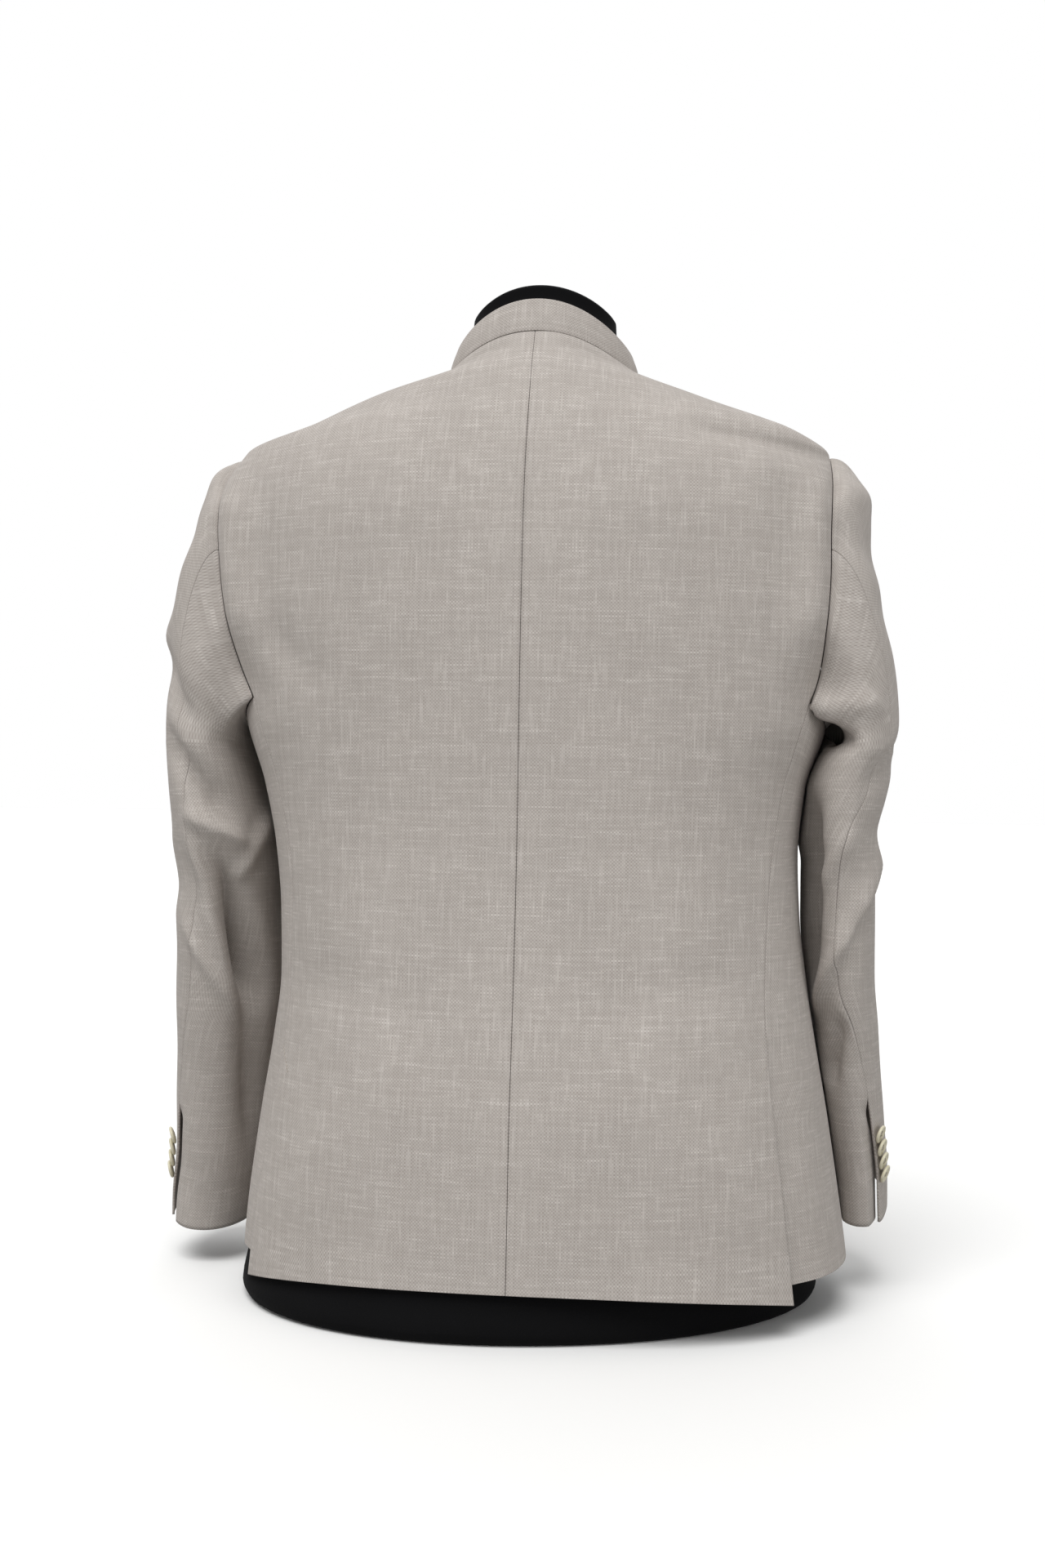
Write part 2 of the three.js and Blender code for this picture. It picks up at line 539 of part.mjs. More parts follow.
function sleeve(side) {
  const loop = armholeLoop(side);
  const columns = loop.length;
  const folds = SLEEVE_FOLDS[side].map((f) => ({
    u0: f.a0 * SLEEVE_ARC, v0: f.z0, u1: f.a1 * SLEEVE_ARC, v1: f.z1, wide: f.wide, high: f.high }));
  const rings = CAP_STEPS.map((u) => loop.map((start, i) => {
    const end = sleevePoint(side, sleeveAngle(side, i, BICEPS), BICEPS);
    return capPoint(side, start, end, u);
  }));
  const angles = CAP_STEPS.map(() => loop.map((_, i) => sleeveAngle(side, i, BICEPS)));
  for (const z of SLEEVE_LEVELS[side]) {
    const ringAngles = loop.map((_, i) => sleeveAngle(side, i, z));
    angles.push(ringAngles);
    rings.push(ringAngles.map((angle) => sleevePoint(side, angle, z)));
  }
  const last = rings.length - 1;
  const normalAt = (r, c) => {
    const row = rings[r];
    const around = row[(c + 1) % columns].clone().sub(row[(c + columns - 1) % columns]);
    const down = rings[Math.min(r + 1, last)][c].clone().sub(rings[Math.max(r - 1, 0)][c]);
    const n = around.cross(down).normalize();
    return SIGN[side] > 0 ? n : n.negate();
  };
  const normals = rings.map((row, r) => row.map((_, c) => normalAt(r, c)));
  const folded = rings.map((row, r) => row.map((p, c) => {
    const a = angles[r][c];
    const turned = a < -180 ? a + 360 : a;
    const ease = r < 2 ? 0 : 1;
    const raise = folds.reduce((sum, f) => sum + foldAt(turned * SLEEVE_ARC, p.z, f), 0) * ease;
    const moved = p.clone().addScaledVector(normals[r][c], raise);
    return r > CAP_STEPS.length - 2 ? clearOfCoat(side, moved, 1.6) : moved;
  }));
  const cuff = SLEEVE_LEVELS[side].at(-1);
  const ventFrom = folded.length - SLEEVE_LEVELS[side].filter((z) => z <= cuff + CUFF_VENT + 1).length;
  const pieces = [
    { name: `sleeve_top_${side}`, from: 0, to: TOP_COLUMNS, lap: 1, edge: 0 },
    { name: `sleeve_under_${side}`, from: TOP_COLUMNS, to: columns, lap: -1, edge: UNDER_COLUMNS },
  ];
  for (const piece of pieces) {
    const grid = [];
    const walls = [];
    for (let r = 0; r <= last; r += 1) {
      grid.push([]);
      walls.push([]);
      for (let c = piece.from; c <= piece.to; c += 1) {
        const i = c % columns;
        grid[r].push(folded[r][i].clone());
        walls[r].push(normals[r][i]);
      }
    }
    drawBack(grid, ['start', 'end']);
    openVent(grid, walls, piece, ventFrom);
    wallMesh(piece.name, grid, walls, CLOTH);
  }
  cuffButtons(side);
}

// At the cuff's vent the top sleeve stands a little open over an extension of the under sleeve.
function openVent(grid, walls, piece, ventFrom) {
  for (let r = ventFrom; r < grid.length; r += 1) {
    const row = grid[r];
    if (piece.lap > 0) {
      row[0].addScaledVector(walls[r][0], CUFF_OPEN * smooth((r - ventFrom + 1) / 3));
    } else {
      const at = row.length - 1;
      const along = row[at].clone().sub(row[at - 1]).normalize();
      row[at].addScaledVector(along, r > ventFrom ? CUFF_EXTENSION : 0);
      row[at].addScaledVector(walls[r][at], -UNDERLAP - 1.6);
    }
  }
}

// Button: a disc with a rounded rim and a dished face, standing on a point along a direction.
function button(name, centre, facing, across) {
  const radius = across / 2;
  const t = BUTTON.thick;
  const profile = [
    [0, 0], [radius * 0.7, 0], [radius, t * 0.5], [radius * 0.85, t], [radius * 0.66, t * 0.75], [0, t * 0.75],
  ].map(([x, y]) => new THREE.Vector2(x, y));
  const turned = new THREE.LatheGeometry(profile, 12);
  const mesh = new THREE.Mesh(turned, POLYESTER);
  mesh.quaternion.setFromUnitVectors(new THREE.Vector3(0, 1, 0), facing.clone().normalize());
  mesh.position.copy(centre);
  mesh.name = name;
  group.add(mesh);
}

// Four cuff buttons in a row along the vent, each tipped so that it rests on the one above.
function cuffButtons(side) {
  const cuff = SLEEVE_LEVELS[side].at(-1);
  const place = (k) => {
    const z = cuff + CUFF_BUTTONS.first + CUFF_BUTTONS.pitch * (CUFF_BUTTONS.count - k);
    return { angle: track(SLEEVES[side], 'seam', z) - CUFF_BUTTONS.inset / SLEEVE_ARC, z };
  };
  const tip = Math.asin((BUTTON.thick + SEAM) / CUFF_BUTTONS.pitch);
  for (let k = 1; k <= CUFF_BUTTONS.count; k += 1) {
    const { angle, z } = place(k);
    const next = place(k + 1);
    const p = sleevePoint(side, angle, z);
    const down = sleevePoint(side, next.angle, next.z).sub(p).normalize();
    const around = sleevePoint(side, angle - 4, z).sub(sleevePoint(side, angle + 4, z));
    const n = around.cross(down).normalize();
    if (n.x * SIGN[side] < 0) n.negate();
    const facing = n.clone().multiplyScalar(Math.cos(tip)).addScaledVector(down, Math.sin(tip));
    const lift = SEAM + CUFF_OPEN * 0.3 + Math.sin(tip) * BUTTON.cuff * 0.35;
    button(`cuff_button_${side}_${k}`, p.addScaledVector(n, lift), facing, BUTTON.cuff);
  }
}

function frontButtons() {
  FRONT_BUTTONS.forEach((z, k) => {
    const surface = (a, h) => coatPoint('left', a, h);
    const n = outward(surface, 180, z, 'left');
    const p = coatPoint('left', 180, z).addScaledVector(n, SEAM);
    button(`front_button_${k + 1}`, p, n, BUTTON.front);
  });
}

// Dress form: one closed smooth body, its shoulders just inside the coat's.
function formRing(z) {
  const power = z <= FORM_BASE.z ? FORM_BASE.power : 2.03;
  const row = (column) => track(FORM, column, z);
  return { z, left: row('half'), right: row('half'), back: row('back'), front: row('front'), power,
    backRise: track(COAT, 'backRise', z), frontRise: track(COAT, 'frontRise', z) };
}
function formShoulder(side, angle, z) {
  const ring = coatRing(z);
  const sharp = 24;
  for (const s of SIDES) {
    ring[s] = (ring[s] ** -sharp + FORM_SHOULDER ** -sharp) ** (-1 / sharp);
  }
  return outline(side, angle, ring);
}
function dressForm() {
  const around = QUARTER * 4;
  const upright = new THREE.Vector3(0, 0, 1);
  const points = [];
  const spin = (place) => {
    for (let c = 0; c < around; c += 1) {
      const half = c <= around / 2;
      points.push(place(half ? 'left' : 'right', (half ? c : around - c) * (90 / QUARTER)));
    }
  };
  for (const row of FORM) {
    const ring = formRing(row.z);
    const turned = row.z <= FORM_BASE.z ? FORM_BASE.turn : FORM_TURN * (1 - smooth((row.z - 24) / 180));
    const turn = radians(turned);
    spin((side, angle) => outline(side, angle, ring).applyAxisAngle(upright, turn));
  }
  for (const z of [650, shoulderTip, ...SHOULDER_LEVELS]) {
    const ease = WALL + FORM_EASE + 4 * (1 - smooth((z - 650) / 45));
    spin((side, angle) => {
      const surface = (a, h) => formShoulder(side, a, h);
      const inner = ease + (UNDERLAP + 0.6) * smooth((angle - 115) / 25);
      return surface(angle, z).addScaledVector(outward(surface, angle, z, side), -inner);
    });
  }
  for (const row of FORM_NECK) {
    const ring = { ...row, left: row.half, right: row.half, power: 2.05 };
    spin((side, angle) => outline(side, angle, ring));
  }
  const rings = points.length / around;
  const faces = [];
  for (let r = 0; r < rings - 1; r += 1) {
    for (let c = 0; c < around; c += 1) {
      const a = r * around + c;
      const b = r * around + ((c + 1) % around);
      if (c < around / 2) faces.push([a, b, b + around], [a, b + around, a + around]);
      else faces.push([a, b, a + around], [b, b + around, a + around]);
    }
  }
  const foot = points.push(new THREE.Vector3(0, 0, 0)) - 1;
  const top = points.push(new THREE.Vector3(0, 0, FORM_NECK.at(-1).z)) - 1;
  for (let c = 0; c < around; c += 1) {
    const next = (c + 1) % around;
    faces.push([foot, next, c]);
    faces.push([top, (rings - 1) * around + c, (rings - 1) * around + next]);
  }
  addSolid('dress_form', points, faces, JERSEY);
}

dressForm();
for (const side of SIDES) {
  backPanel(side);
  sidePanel(side);
  frontPanel(side);
  sleeve(side);
}
collar();
frontButtons();

export default group;
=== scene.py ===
"""Stand collar blazer of slubbed greige suiting on a limbless dress form.

Shapes are worked out in millimetres in the frame's own axes (+Z up, the coat's front faces -Y, the
wearer's left is +X) and stored in metres. Each cut piece of cloth is a fine grid laid on the form
of its solid, creased and given its thickness, so the piece stays where its node is.
"""

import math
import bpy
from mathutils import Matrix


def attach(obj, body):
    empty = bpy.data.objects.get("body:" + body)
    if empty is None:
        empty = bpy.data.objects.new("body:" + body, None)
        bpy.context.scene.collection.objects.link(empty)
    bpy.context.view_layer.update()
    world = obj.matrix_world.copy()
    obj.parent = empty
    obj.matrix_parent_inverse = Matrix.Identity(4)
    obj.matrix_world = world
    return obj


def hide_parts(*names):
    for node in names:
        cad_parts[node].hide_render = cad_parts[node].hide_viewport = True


bl_info = {
    "name": "Stand Collar Blazer",
    "version": (1, 0, 0),
    "blender": (4, 5, 0),
    "location": "View3D > Sidebar > Blazer",
    "description": "Slubbed suiting blazer with a stand collar, on a limbless dress form",
    "category": "Object",
}

import bmesh
import bpy
import numpy as np
from bpy.props import FloatProperty, FloatVectorProperty, IntProperty, PointerProperty
from mathutils import Matrix, Vector

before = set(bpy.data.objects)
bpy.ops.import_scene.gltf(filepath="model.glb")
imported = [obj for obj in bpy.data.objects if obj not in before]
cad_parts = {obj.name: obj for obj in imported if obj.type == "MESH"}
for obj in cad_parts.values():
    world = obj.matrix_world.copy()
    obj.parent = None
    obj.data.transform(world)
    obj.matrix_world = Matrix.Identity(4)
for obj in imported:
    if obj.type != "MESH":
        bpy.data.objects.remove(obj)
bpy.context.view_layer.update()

MM = 0.001
SIDES = ("left", "right")
SIGN = {"left": 1, "right": -1}
OTHER = {"left": "right", "right": "left"}

WALL = 1.8  # cloth with its fusing
SEAM = 0.3  # gap between two pieces at a seam
UNDERLAP = 2.6  # how far an under layer lies inside the layer above it
FRONT_LAP = 18  # left front past the centre line
COLLAR_GAP = 4  # between the collar's two ends
FRONT_SEAM = 118  # degrees round from the centre back, front to side body
FORM_SHOULDER = 211  # half width of the form's shoulders
FORM_EASE = 0.6
FORM_TURN = 8  # degrees that the form's hips stand turned inside the coat
FORM_BASE = {"turn": 12.5, "power": 2.1}  # the form below the hem
SLEEVE_FRONT_SEAM = -125
BICEPS = 430
VENT_TOP = 190
CUFF_VENT = 78
CUFF_EXTENSION = 7
UNDERARM_DIP = 18
ARMHOLE_LIFT = 28  # back's armhole edge behind the rounded outline
CUFF_TILT = 0.2
SLEEVE_ARC = 0.95  # mm round the sleeve for each degree
SLEEVE_POWER = 2.15  # of the sleeve's rounded outline
TOP_MARKS, UNDER_MARKS = 10, 11  # runs of the armhole that each sleeve piece is set into
RUN_STEPS = 24  # points along each of those runs
VENT_STAND = 1.2  # how far a vent's edge stands off what lies under it
BACK_HEM = {"centre": 38, "left": 20, "right": 24}  # centre back and the corners at the vents
HEM_BEND = 58  # below this the back's rows bend down to the corner
SIDE_HEM = {"left": 36, "right": 38}
FRONT_HEM = 30
FRONT_BUTTONS = (632.0, 552.0, 472.0, 392.0, 312.0)
CUFF_BUTTONS = {"pitch": 10, "first": 38, "inset": 8}  # above the cuff's edge, in from the seam
BUTTON_THICK = 2.8
BUTTON_DISH = 0.62  # height of a button's dish as a share of its thickness
THREAD_RADIUS = 0.45
NEAR_SEAM = np.array([0.5, 1.1, 1.9, 3.0, 4.6])  # where the grid closes up beside a seam
TACK = {"left": (5.5, 19), "right": (3.5, 11)}  # the vent's tack: degrees round and drop
TACK_STITCHES = 9
TACK_COVER = 0.62  # part of a stitch's pitch that its thread covers
BUTTONHOLE = {"start": 180.2, "end": 169.5, "stitches": 34, "slit": 0.25, "reach": 2.1}


def columns(names, *rows):
    """A table of numbers as one array for each named column."""
    return {name: np.array(values, float) for name, values in zip(names.split(), zip(*rows))}


# Outside of the coat's body at a height: half widths, depths, the rise of the same line at the
# centre back and front, and the power of its rounded outline.
COAT = columns(
    "z left right back front back_rise front_rise power",
    (14, 230, 252, 173.5, 170, 0, 0, 2.3),
    (60, 227, 246, 170.5, 168, 0, 0, 2.3),
    (100, 222, 240, 169, 166, 0, 0, 2.35),
    (150, 215, 232, 167, 163, 0, 0, 2.35),
    (200, 207, 223, 160, 160, 0, 0, 2.4),
    (250, 202, 215, 152.5, 156, 0, 0, 2.4),
    (300, 203, 209, 147, 153, 0, 0, 2.45),
    (350, 208, 207, 143.5, 151, 0, 0, 2.45),
    (400, 218, 212, 142, 151, 0, 0, 2.5),
    (450, 234, 227, 142, 151, 0, 0, 2.5),
    (510, 242, 230, 141, 147, 0, 0, 2.55),
    (560, 249, 231, 138, 140, 0, 0, 2.6),
    (600, 252, 230, 134, 130, 1, -5, 2.6),
    (632, 252, 230, 127, 120, 4, -14, 2.45),
    (662, 241, 227, 114.5, 107, 9, -28, 2.2),
    (681, 199, 196, 104, 98, 14, -34, 1.9),
    (697, 163, 153, 94, 91, 19, -39, 1.7),
    (710, 101, 105, 83, 85, 23, -42, 1.7),
    (720, 77, 77, 74, 79, 27, -44, 2.05),
)

# Dress form below its shoulders, and its neck above the coat's neck seam.
FORM = columns(
    "z half back front",
    (0, 220, 161, 153),
    (3, 226, 166, 160),
    (10, 229, 168.5, 163),
    (24, 227, 166.5, 161),
    (60, 217, 159, 157),
    (105, 212, 155, 156),
    (150, 205, 150, 152),
    (200, 198, 146, 149),
    (250, 194, 142, 147),
    (300, 194, 139, 146),
    (350, 197, 137, 145),
    (400, 202, 136, 145),
    (450, 206, 135.5, 145),
    (510, 209, 134.5, 141),
    (560, 211, 131, 134),
    (600, 211, 127, 124),
    (630, 211, 120.5, 114),
)
FORM_NECK = columns(
    "z half back front back_rise front_rise",
    (732, 67, 64, 69, 24, -43),
    (748, 61, 57, 61, 21, -38),
    (762, 57.5, 53, 55, 18, -26),
    (770, 57, 52.5, 53, 16.5, -17),
    (773, 54.5, 50, 50, 15.5, -16),
)

# Seam between the back and the side body, as a half width at a height.
BACK_SEAM = columns(
    "z left right",
    (14, 213, 206),
    (110, 197, 194),
    (180, 187, 186),
    (250, 180, 181),
    (320, 180, 183),
    (390, 191, 191),
    (465, 215, 212),
)

# Armhole, as degrees round the body behind and in front of the shoulder tip.
ARMHOLE = columns(
    "z back front",
    (465, 62.5, 118),
    (490, 69, 113),
    (515, 73, 110.5),
    (545, 75.5, 108),
    (580, 77, 105.5),
    (610, 78.5, 103),
    (632, 81, 100),
    (650, 84.5, 96),
    (662, 90, 90),
)
BODY_CORNER = 465
SHOULDER_TIP = 662
NECK_SEAM = 720

# Sleeves: outermost and innermost X, middle of the depth, half depth and back seam's angle.
SLEEVES = {
    "left": columns(
        "z outer inner middle deep seam",
        (430, 302, 233, -6, 78, 68),
        (400, 301, 226, -9, 75, 72),
        (356, 301, 217, -14, 72, 74),
        (316, 295, 214, -18, 69, 74),
        (289, 299, 214, -21, 68, 73),
        (236, 301, 214, -30, 66, 66),
        (155, 305, 224, -47, 62, 48),
        (100, 307, 231, -57, 60, 39),
        (60, 311, 237, -63, 58, 33),
        (32, 312, 240, -67, 58, 30),
    ),
    "right": columns(
        "z outer inner middle deep seam",
        (430, 284, 219, -6, 80, 45),
        (392, 275, 207, -10, 78, 70),
        (367, 269, 207, -13, 77, 85),
        (341, 268, 211, -16, 75, 95),
        (302, 269, 211, -20, 73, 100),
        (251, 270, 215, -28, 70, 98),
        (212, 274, 219, -36, 68, 80),
        (174, 277, 224, -44, 65, 66),
        (135, 281, 230, -51, 62, 60),
        (97, 285, 236, -58, 60, 57),
        (54, 286, 239, -66, 58, 55),
    ),
}
CUFF = {"left": 40, "right": 67}

# Folds of the sleeves: angle and height of both ends, width, height, and how much narrower the
# fold's side towards the body is than its outer side (1 is an even fold).
FOLD = "a0 z0 a1 z1 wide high lean"
SLEEVE_FOLDS = {
    "left": columns(
        FOLD,
        (-60, 648, 50, 644, 14, 6, 1),
        (-60, 592, 50, 592, 20, -4, 1),
        (-40, 518, 40, 513, 20, 7, 1),
        (15, 505, 100, 440, 13, -7, 1),
        (45, 436, 124, 374, 12, -11, 1),
        (74, 376, 135, 348, 8, 9, 1),
        (112, 316, 168, 374, 7, 6, 1),
        (100, 340, 142, 222, 15, -22, 1),
        (72, 362, 118, 216, 8, 6, 1),
        (58, 290, 122, 206, 6, 4, 1),
        (-30, 310, 25, 306, 10, -4, 1),
        (122, 300, 146, 100, 15, -11, 1),
        (-120, 372, -55, 330, 14, -5, 1),
        (-110, 330, -60, 292, 13, 4, 1),
    ),
    "right": columns(
        FOLD,
        (-50, 632, 42, 626, 12, 4, 1),
        (-70, 588, 42, 582, 24, -7, 1),
        (-60, 542, 42, 538, 24, -4, 1),
        (60, 466, 150, 458, 10, 5, 1),
        (100, 438, 178, 446, 9, -14, 1),
        (-5, 434, 75, 408, 12, -7, 1),
        (75, 368, 128, 326, 10, 4, 1),
        (18, 354, 75, 300, 6, 7, 2.4),
        (75, 300, 140, 226, 6, 8, 2.4),
        (138, 390, 150, 250, 15, -15, 1),
        (98, 222, 128, 172, 12, -8, 1),
        (-120, 360, -55, 326, 14, -5, 1),
        (-110, 318, -60, 288, 13, 4, 1),
    ),
}
# Folds of the backs: distance off the centre and height of both ends.
BACK_FOLDS = {
    "left": columns(
        FOLD,
        (150, 470, 205, 520, 16, -2.5, 1),
        (60, 236, 165, 250, 22, -2, 1),
    ),
    "right": columns(
        FOLD,
        (120, 669, 226, 655, 8, -5, 1),
        (115, 690, 205, 672, 8, 2.5, 1),
        (165, 640, 226, 628, 13, 2.5, 1),
        (60, 240, 160, 262, 22, -2, 1),
    ),
}

# Upper edge of the collar, as a ring like the coat's own.
COLLAR_EDGE = {
    "z": 744,
    "left": 70,
    "right": 70,
    "back": 66,
    "front": 76,
    "back_rise": 30,
    "front_rise": -42,
    "power": 2.05,
}

# Suns: name, where each one stands, the setting and share of its strength, its width in degrees.
SUNS = (
    ("key_behind", (0.2, 0.95, 1.75), "key", 1.0, 40),
    ("side_left", (1.0, 0.9, 0.12), "sides", 1.1, 35),
    ("side_right", (-1.0, 0.6, 0.12), "sides", 1.3, 35),
    ("fill_front", (0.3, -1.0, 1.1), "fill", 1.0, 70),
)

# Camera, in metres and degrees: it looks level at the back, from a little round to the right.
CAMERA = {
    "towards": (-0.1132, 0.9936, 0),
    "away": 1.436,
    "aside": -0.0127,
    "height": 0.401,
    "roll": 0.87,
    "lens": 41,
    "sensor": 36,
}


def track(table, column, z):
    """Smooth value of a table's column at heights, with no overshoot between its rows."""
    heights, values = table["z"], table[column]
    if heights[0] > heights[-1]:
        heights, values = heights[::-1], values[::-1]
    rise = np.diff(values) / np.diff(heights)
    product, total = rise[:-1] * rise[1:], rise[:-1] + rise[1:]
    inner = np.where(product > 0, 2 * product / np.where(product > 0, total, 1), 0)
    slope = np.concatenate((rise[:1], inner, rise[-1:]))
    z = np.clip(z, heights[0], heights[-1])
    i = np.clip(np.searchsorted(heights, z) - 1, 0, len(heights) - 2)
    span = heights[i + 1] - heights[i]
    u = (z - heights[i]) / span
    ends = values[i] * (1 + 2 * u) * (1 - u) ** 2 + values[i + 1] * u * u * (3 - 2 * u)
    return ends + span * u * (1 - u) * (slope[i] * (1 - u) - slope[i + 1] * u)


def smooth(u):
    """From 0 to 1 with no slope at either end."""
    t = np.clip(u, 0, 1)
    return t * t * (3 - 2 * t)


def lerp(a, b, u):
    """Value a share of the way from one to another."""
    return a + (b - a) * u


def unit(v):
    """The same direction, one long."""
    return v / np.maximum(np.linalg.norm(v, axis=-1, keepdims=True), 1e-9)


def outline(side, angle, ring):
    """Points of a rounded outline, angle in degrees from the centre back round to the front."""
    s, c = np.sin(np.radians(angle)), np.cos(np.radians(angle))
    power = 2 / ring["power"]
    half = np.where(s >= 0, ring[side], ring[OTHER[side]])
    x = half * np.sign(s) * np.abs(s) ** power * SIGN[side]
    y = np.where(c >= 0, ring["back"], ring["front"]) * np.sign(c) * np.abs(c) ** power
    z = ring["z"] + np.where(c >= 0, ring["back_rise"], ring["front_rise"]) * c * c
    return np.stack(np.broadcast_arrays(x, y, z), -1)


def coat_ring(z):
    """The coat's outline at a height, as its half widths, depths, rises and power."""
    ring = {name: track(COAT, name, z) for name in COAT if name != "z"}
    return ring | {"z": z}


def coat(side, angle, z):
    """Outside of the coat's body."""
    return outline(side, angle, coat_ring(z))


def outward(surface, side, angle, z):
    """Direction out of a surface given by an angle and a height."""
    around = surface(angle + 0.6, z) - surface(angle - 0.6, z)
    up = surface(angle, z + 1.5) - surface(angle, z - 1.5)
    return unit(np.cross(around, up)) * -SIGN[side]


def coat_out(side, angle, z):
    """Direction out of the coat's body."""
    return outward(lambda a, h: coat(side, a, h), side, angle, z)


def over_coat(side, angle, z, lift):
    """Points that stand off the coat's body."""
    return coat(side, angle, z) + coat_out(side, angle, z) * np.asarray(lift)[..., None]


def fold_sum(u, v, folds, scale=1.0):
    """Height of all folds at points: full along each line, soft at its sides and ends."""
    total = np.zeros(np.broadcast(u, v).shape)
    for u0, v0, u1, v1, wide, high, lean in zip(*(folds[name] for name in FOLD.split())):
        along = np.array([(u1 - u0) * scale, v1 - v0])
        span = np.linalg.norm(along)
        along /= span
        du, dv = u - u0 * scale, v - v0
        t = (du * along[0] + dv * along[1]) / span
        aside = du * along[1] - dv * along[0]
        width = np.where(aside > 0, wide, wide * lean)
        end = np.where(t < 0.5, smooth((t + 0.15) / 0.4), smooth((1.15 - t) / 0.4))
        total += high * np.exp(-((aside / width) ** 2)) * end
    return total


def ripple(u, v, seed, size, height):
    """Slow unevenness of hanging cloth, as a few crossed waves of about one size in millimetres."""
    rng = np.random.default_rng(seed)
    total = np.zeros(np.broadcast(u, v).shape)
    ranges = ((0, math.pi), (0, 6), (0.7, 1.4))
    for turn, phase, stretch in zip(*[rng.uniform(low, high, 5) for low, high in ranges]):
        wave = (u * math.cos(turn) + v * math.sin(turn)) * 2 * math.pi / (size * stretch)
        total += np.sin(wave + phase)
    return total * height / 2.2


def back_seam(side, z):
    """Angle of the seam between the back and the side body, from its half width at a height."""
    ring = coat_ring(z)
    across = np.clip(track(BACK_SEAM, side, z) / ring[side], 0, 1)
    return np.degrees(np.arcsin(across ** (ring["power"] / 2)))


def armhole(side, edge, z):
    """Angle of the armhole's edge, which meets the back's seam at the body's corner."""
    corner = back_seam(side, BODY_CORNER) - ARMHOLE["back"][0] if edge == "back" else 0
    return track(ARMHOLE, edge, z) + corner * (1 - smooth((z - BODY_CORNER) / 60))


def armhole_lift(u, z):
    """How far the back stands out behind the arm, where it runs on flat into the sleeve."""
    tall = smooth((z - BODY_CORNER) / 70) * (1 - smooth((z - 610) / 52))
    return ARMHOLE_LIFT * tall * smooth((u - 0.62) / 0.38)


def sunk(z):
    """Below the vent's top the side body sinks under the back."""
    return 1 - smooth((z - VENT_TOP) / 40)


def vented(z):
    """Lower still it also reaches on beneath the back."""
    return 1 - smooth((z - VENT_TOP + 40) / 40)


def curve(u, start, leave, end, back):
    """Points of a smooth curve; leave and back are its pulls at the start and at the end."""
    first = start * ((1 + 2 * u) * (1 - u) ** 2)[..., None] + end * (u * u * (3 - 2 * u))[..., None]
    return first + leave * (u * (1 - u) ** 2)[..., None] + back * (u * u * (1 - u))[..., None]


def measured(points, axis):
    """Distance along a grid's rows or columns, in millimetres from its first one."""
    steps = np.linalg.norm(np.diff(points, axis=axis), axis=-1)
    start = np.zeros_like(np.take(steps, [0], axis=axis))
    return np.concatenate((start, np.cumsum(steps, axis=axis)), axis=axis)


def spread(length, step, ends=(1, 1)):
    """Places from 0 to 1 about a step apart, closer at the ends where cloth turns into a seam."""
    near = NEAR_SEAM / length
    places = np.linspace(0, 1, max(3, round(length / step)) + 1)
    if ends[0]:
        places = np.concatenate(([0], near, places[places > near[-1] * 1.3]))
    if ends[1]:
        places = np.concatenate((places[places < 1 - near[-1] * 1.3], 1 - near[::-1], [1]))
    return places


def level_places(side, angle, low, high, step):
    """Heights that lie a step apart along the coat's surface, measured at one angle."""
    z = np.linspace(low, high, 600)
    reach = measured(coat(side, angle, z), 0)
    return np.interp(spread(reach[-1], step) * reach[-1], reach, z)


def turn_in(points, normals, edges, depth=0.3, width=0.9):
    """Pulls seam edges back by half the gap and rolls them in, as a pressed seam does.

    The depth and the width of the roll are in millimetres.
    """
    across, along = measured(points, 1), measured(points, 0)
    places = {
        "start": across,
        "end": across[:, -1:] - across,
        "bottom": along,
        "top": along[-1:] - along,
    }
    rolled = points.copy()
    for edge in edges:
        rolled -= normals * (depth * np.exp(-((places[edge] / width) ** 2)))[..., None]
    for edge in edges:
        here, nearby = (0, 1) if edge in ("start", "bottom") else (-1, -2)
        if edge in ("start", "end"):
            inland = unit(rolled[:, nearby] - rolled[:, here])[:, None]
        else:
            inland = unit(rolled[nearby] - rolled[here])[None]
        rolled += inland * (SEAM / 2 * np.exp(-((places[edge] / width) ** 2)))[..., None]
    return rolled


def linear(text):
    """An sRGB hex colour as linear RGBA."""
    channels = [int(text[i : i + 2], 16) / 255 for i in (1, 3, 5)]
    return [c / 12.92 if c <= 0.04045 else ((c + 0.055) / 1.055) ** 2.4 for c in channels] + [1]


def add(tree, kind, inputs, **settings):
    """Adds a shader node; each input is a value, another node (its first output) or a socket."""
    made = tree.nodes.new("ShaderNode" + kind)
    for key, value in settings.items():
        setattr(made, key, value)
    for key, value in inputs.items():
        socket = made.inputs[key]
        if isinstance(value, bpy.types.Node):
            value = value.outputs[0]
        if isinstance(value, bpy.types.NodeSocket):
            tree.links.new(value, socket)
        else:
            socket.default_value = value
    return made


def tinted(colour, share=1):
    """A setting's colour as RGBA, a share as bright."""
    return (*[c * share for c in colour], 1)


def new_material(name, wire, settings):
    """A material with its nodes wired by one of the finishes."""
    material = bpy.data.materials.new(name)
    material.use_nodes = True
    tree = material.node_tree
    tree.nodes.clear()
    add(tree, "OutputMaterial", {"Surface": wire(tree, settings)})
    return material


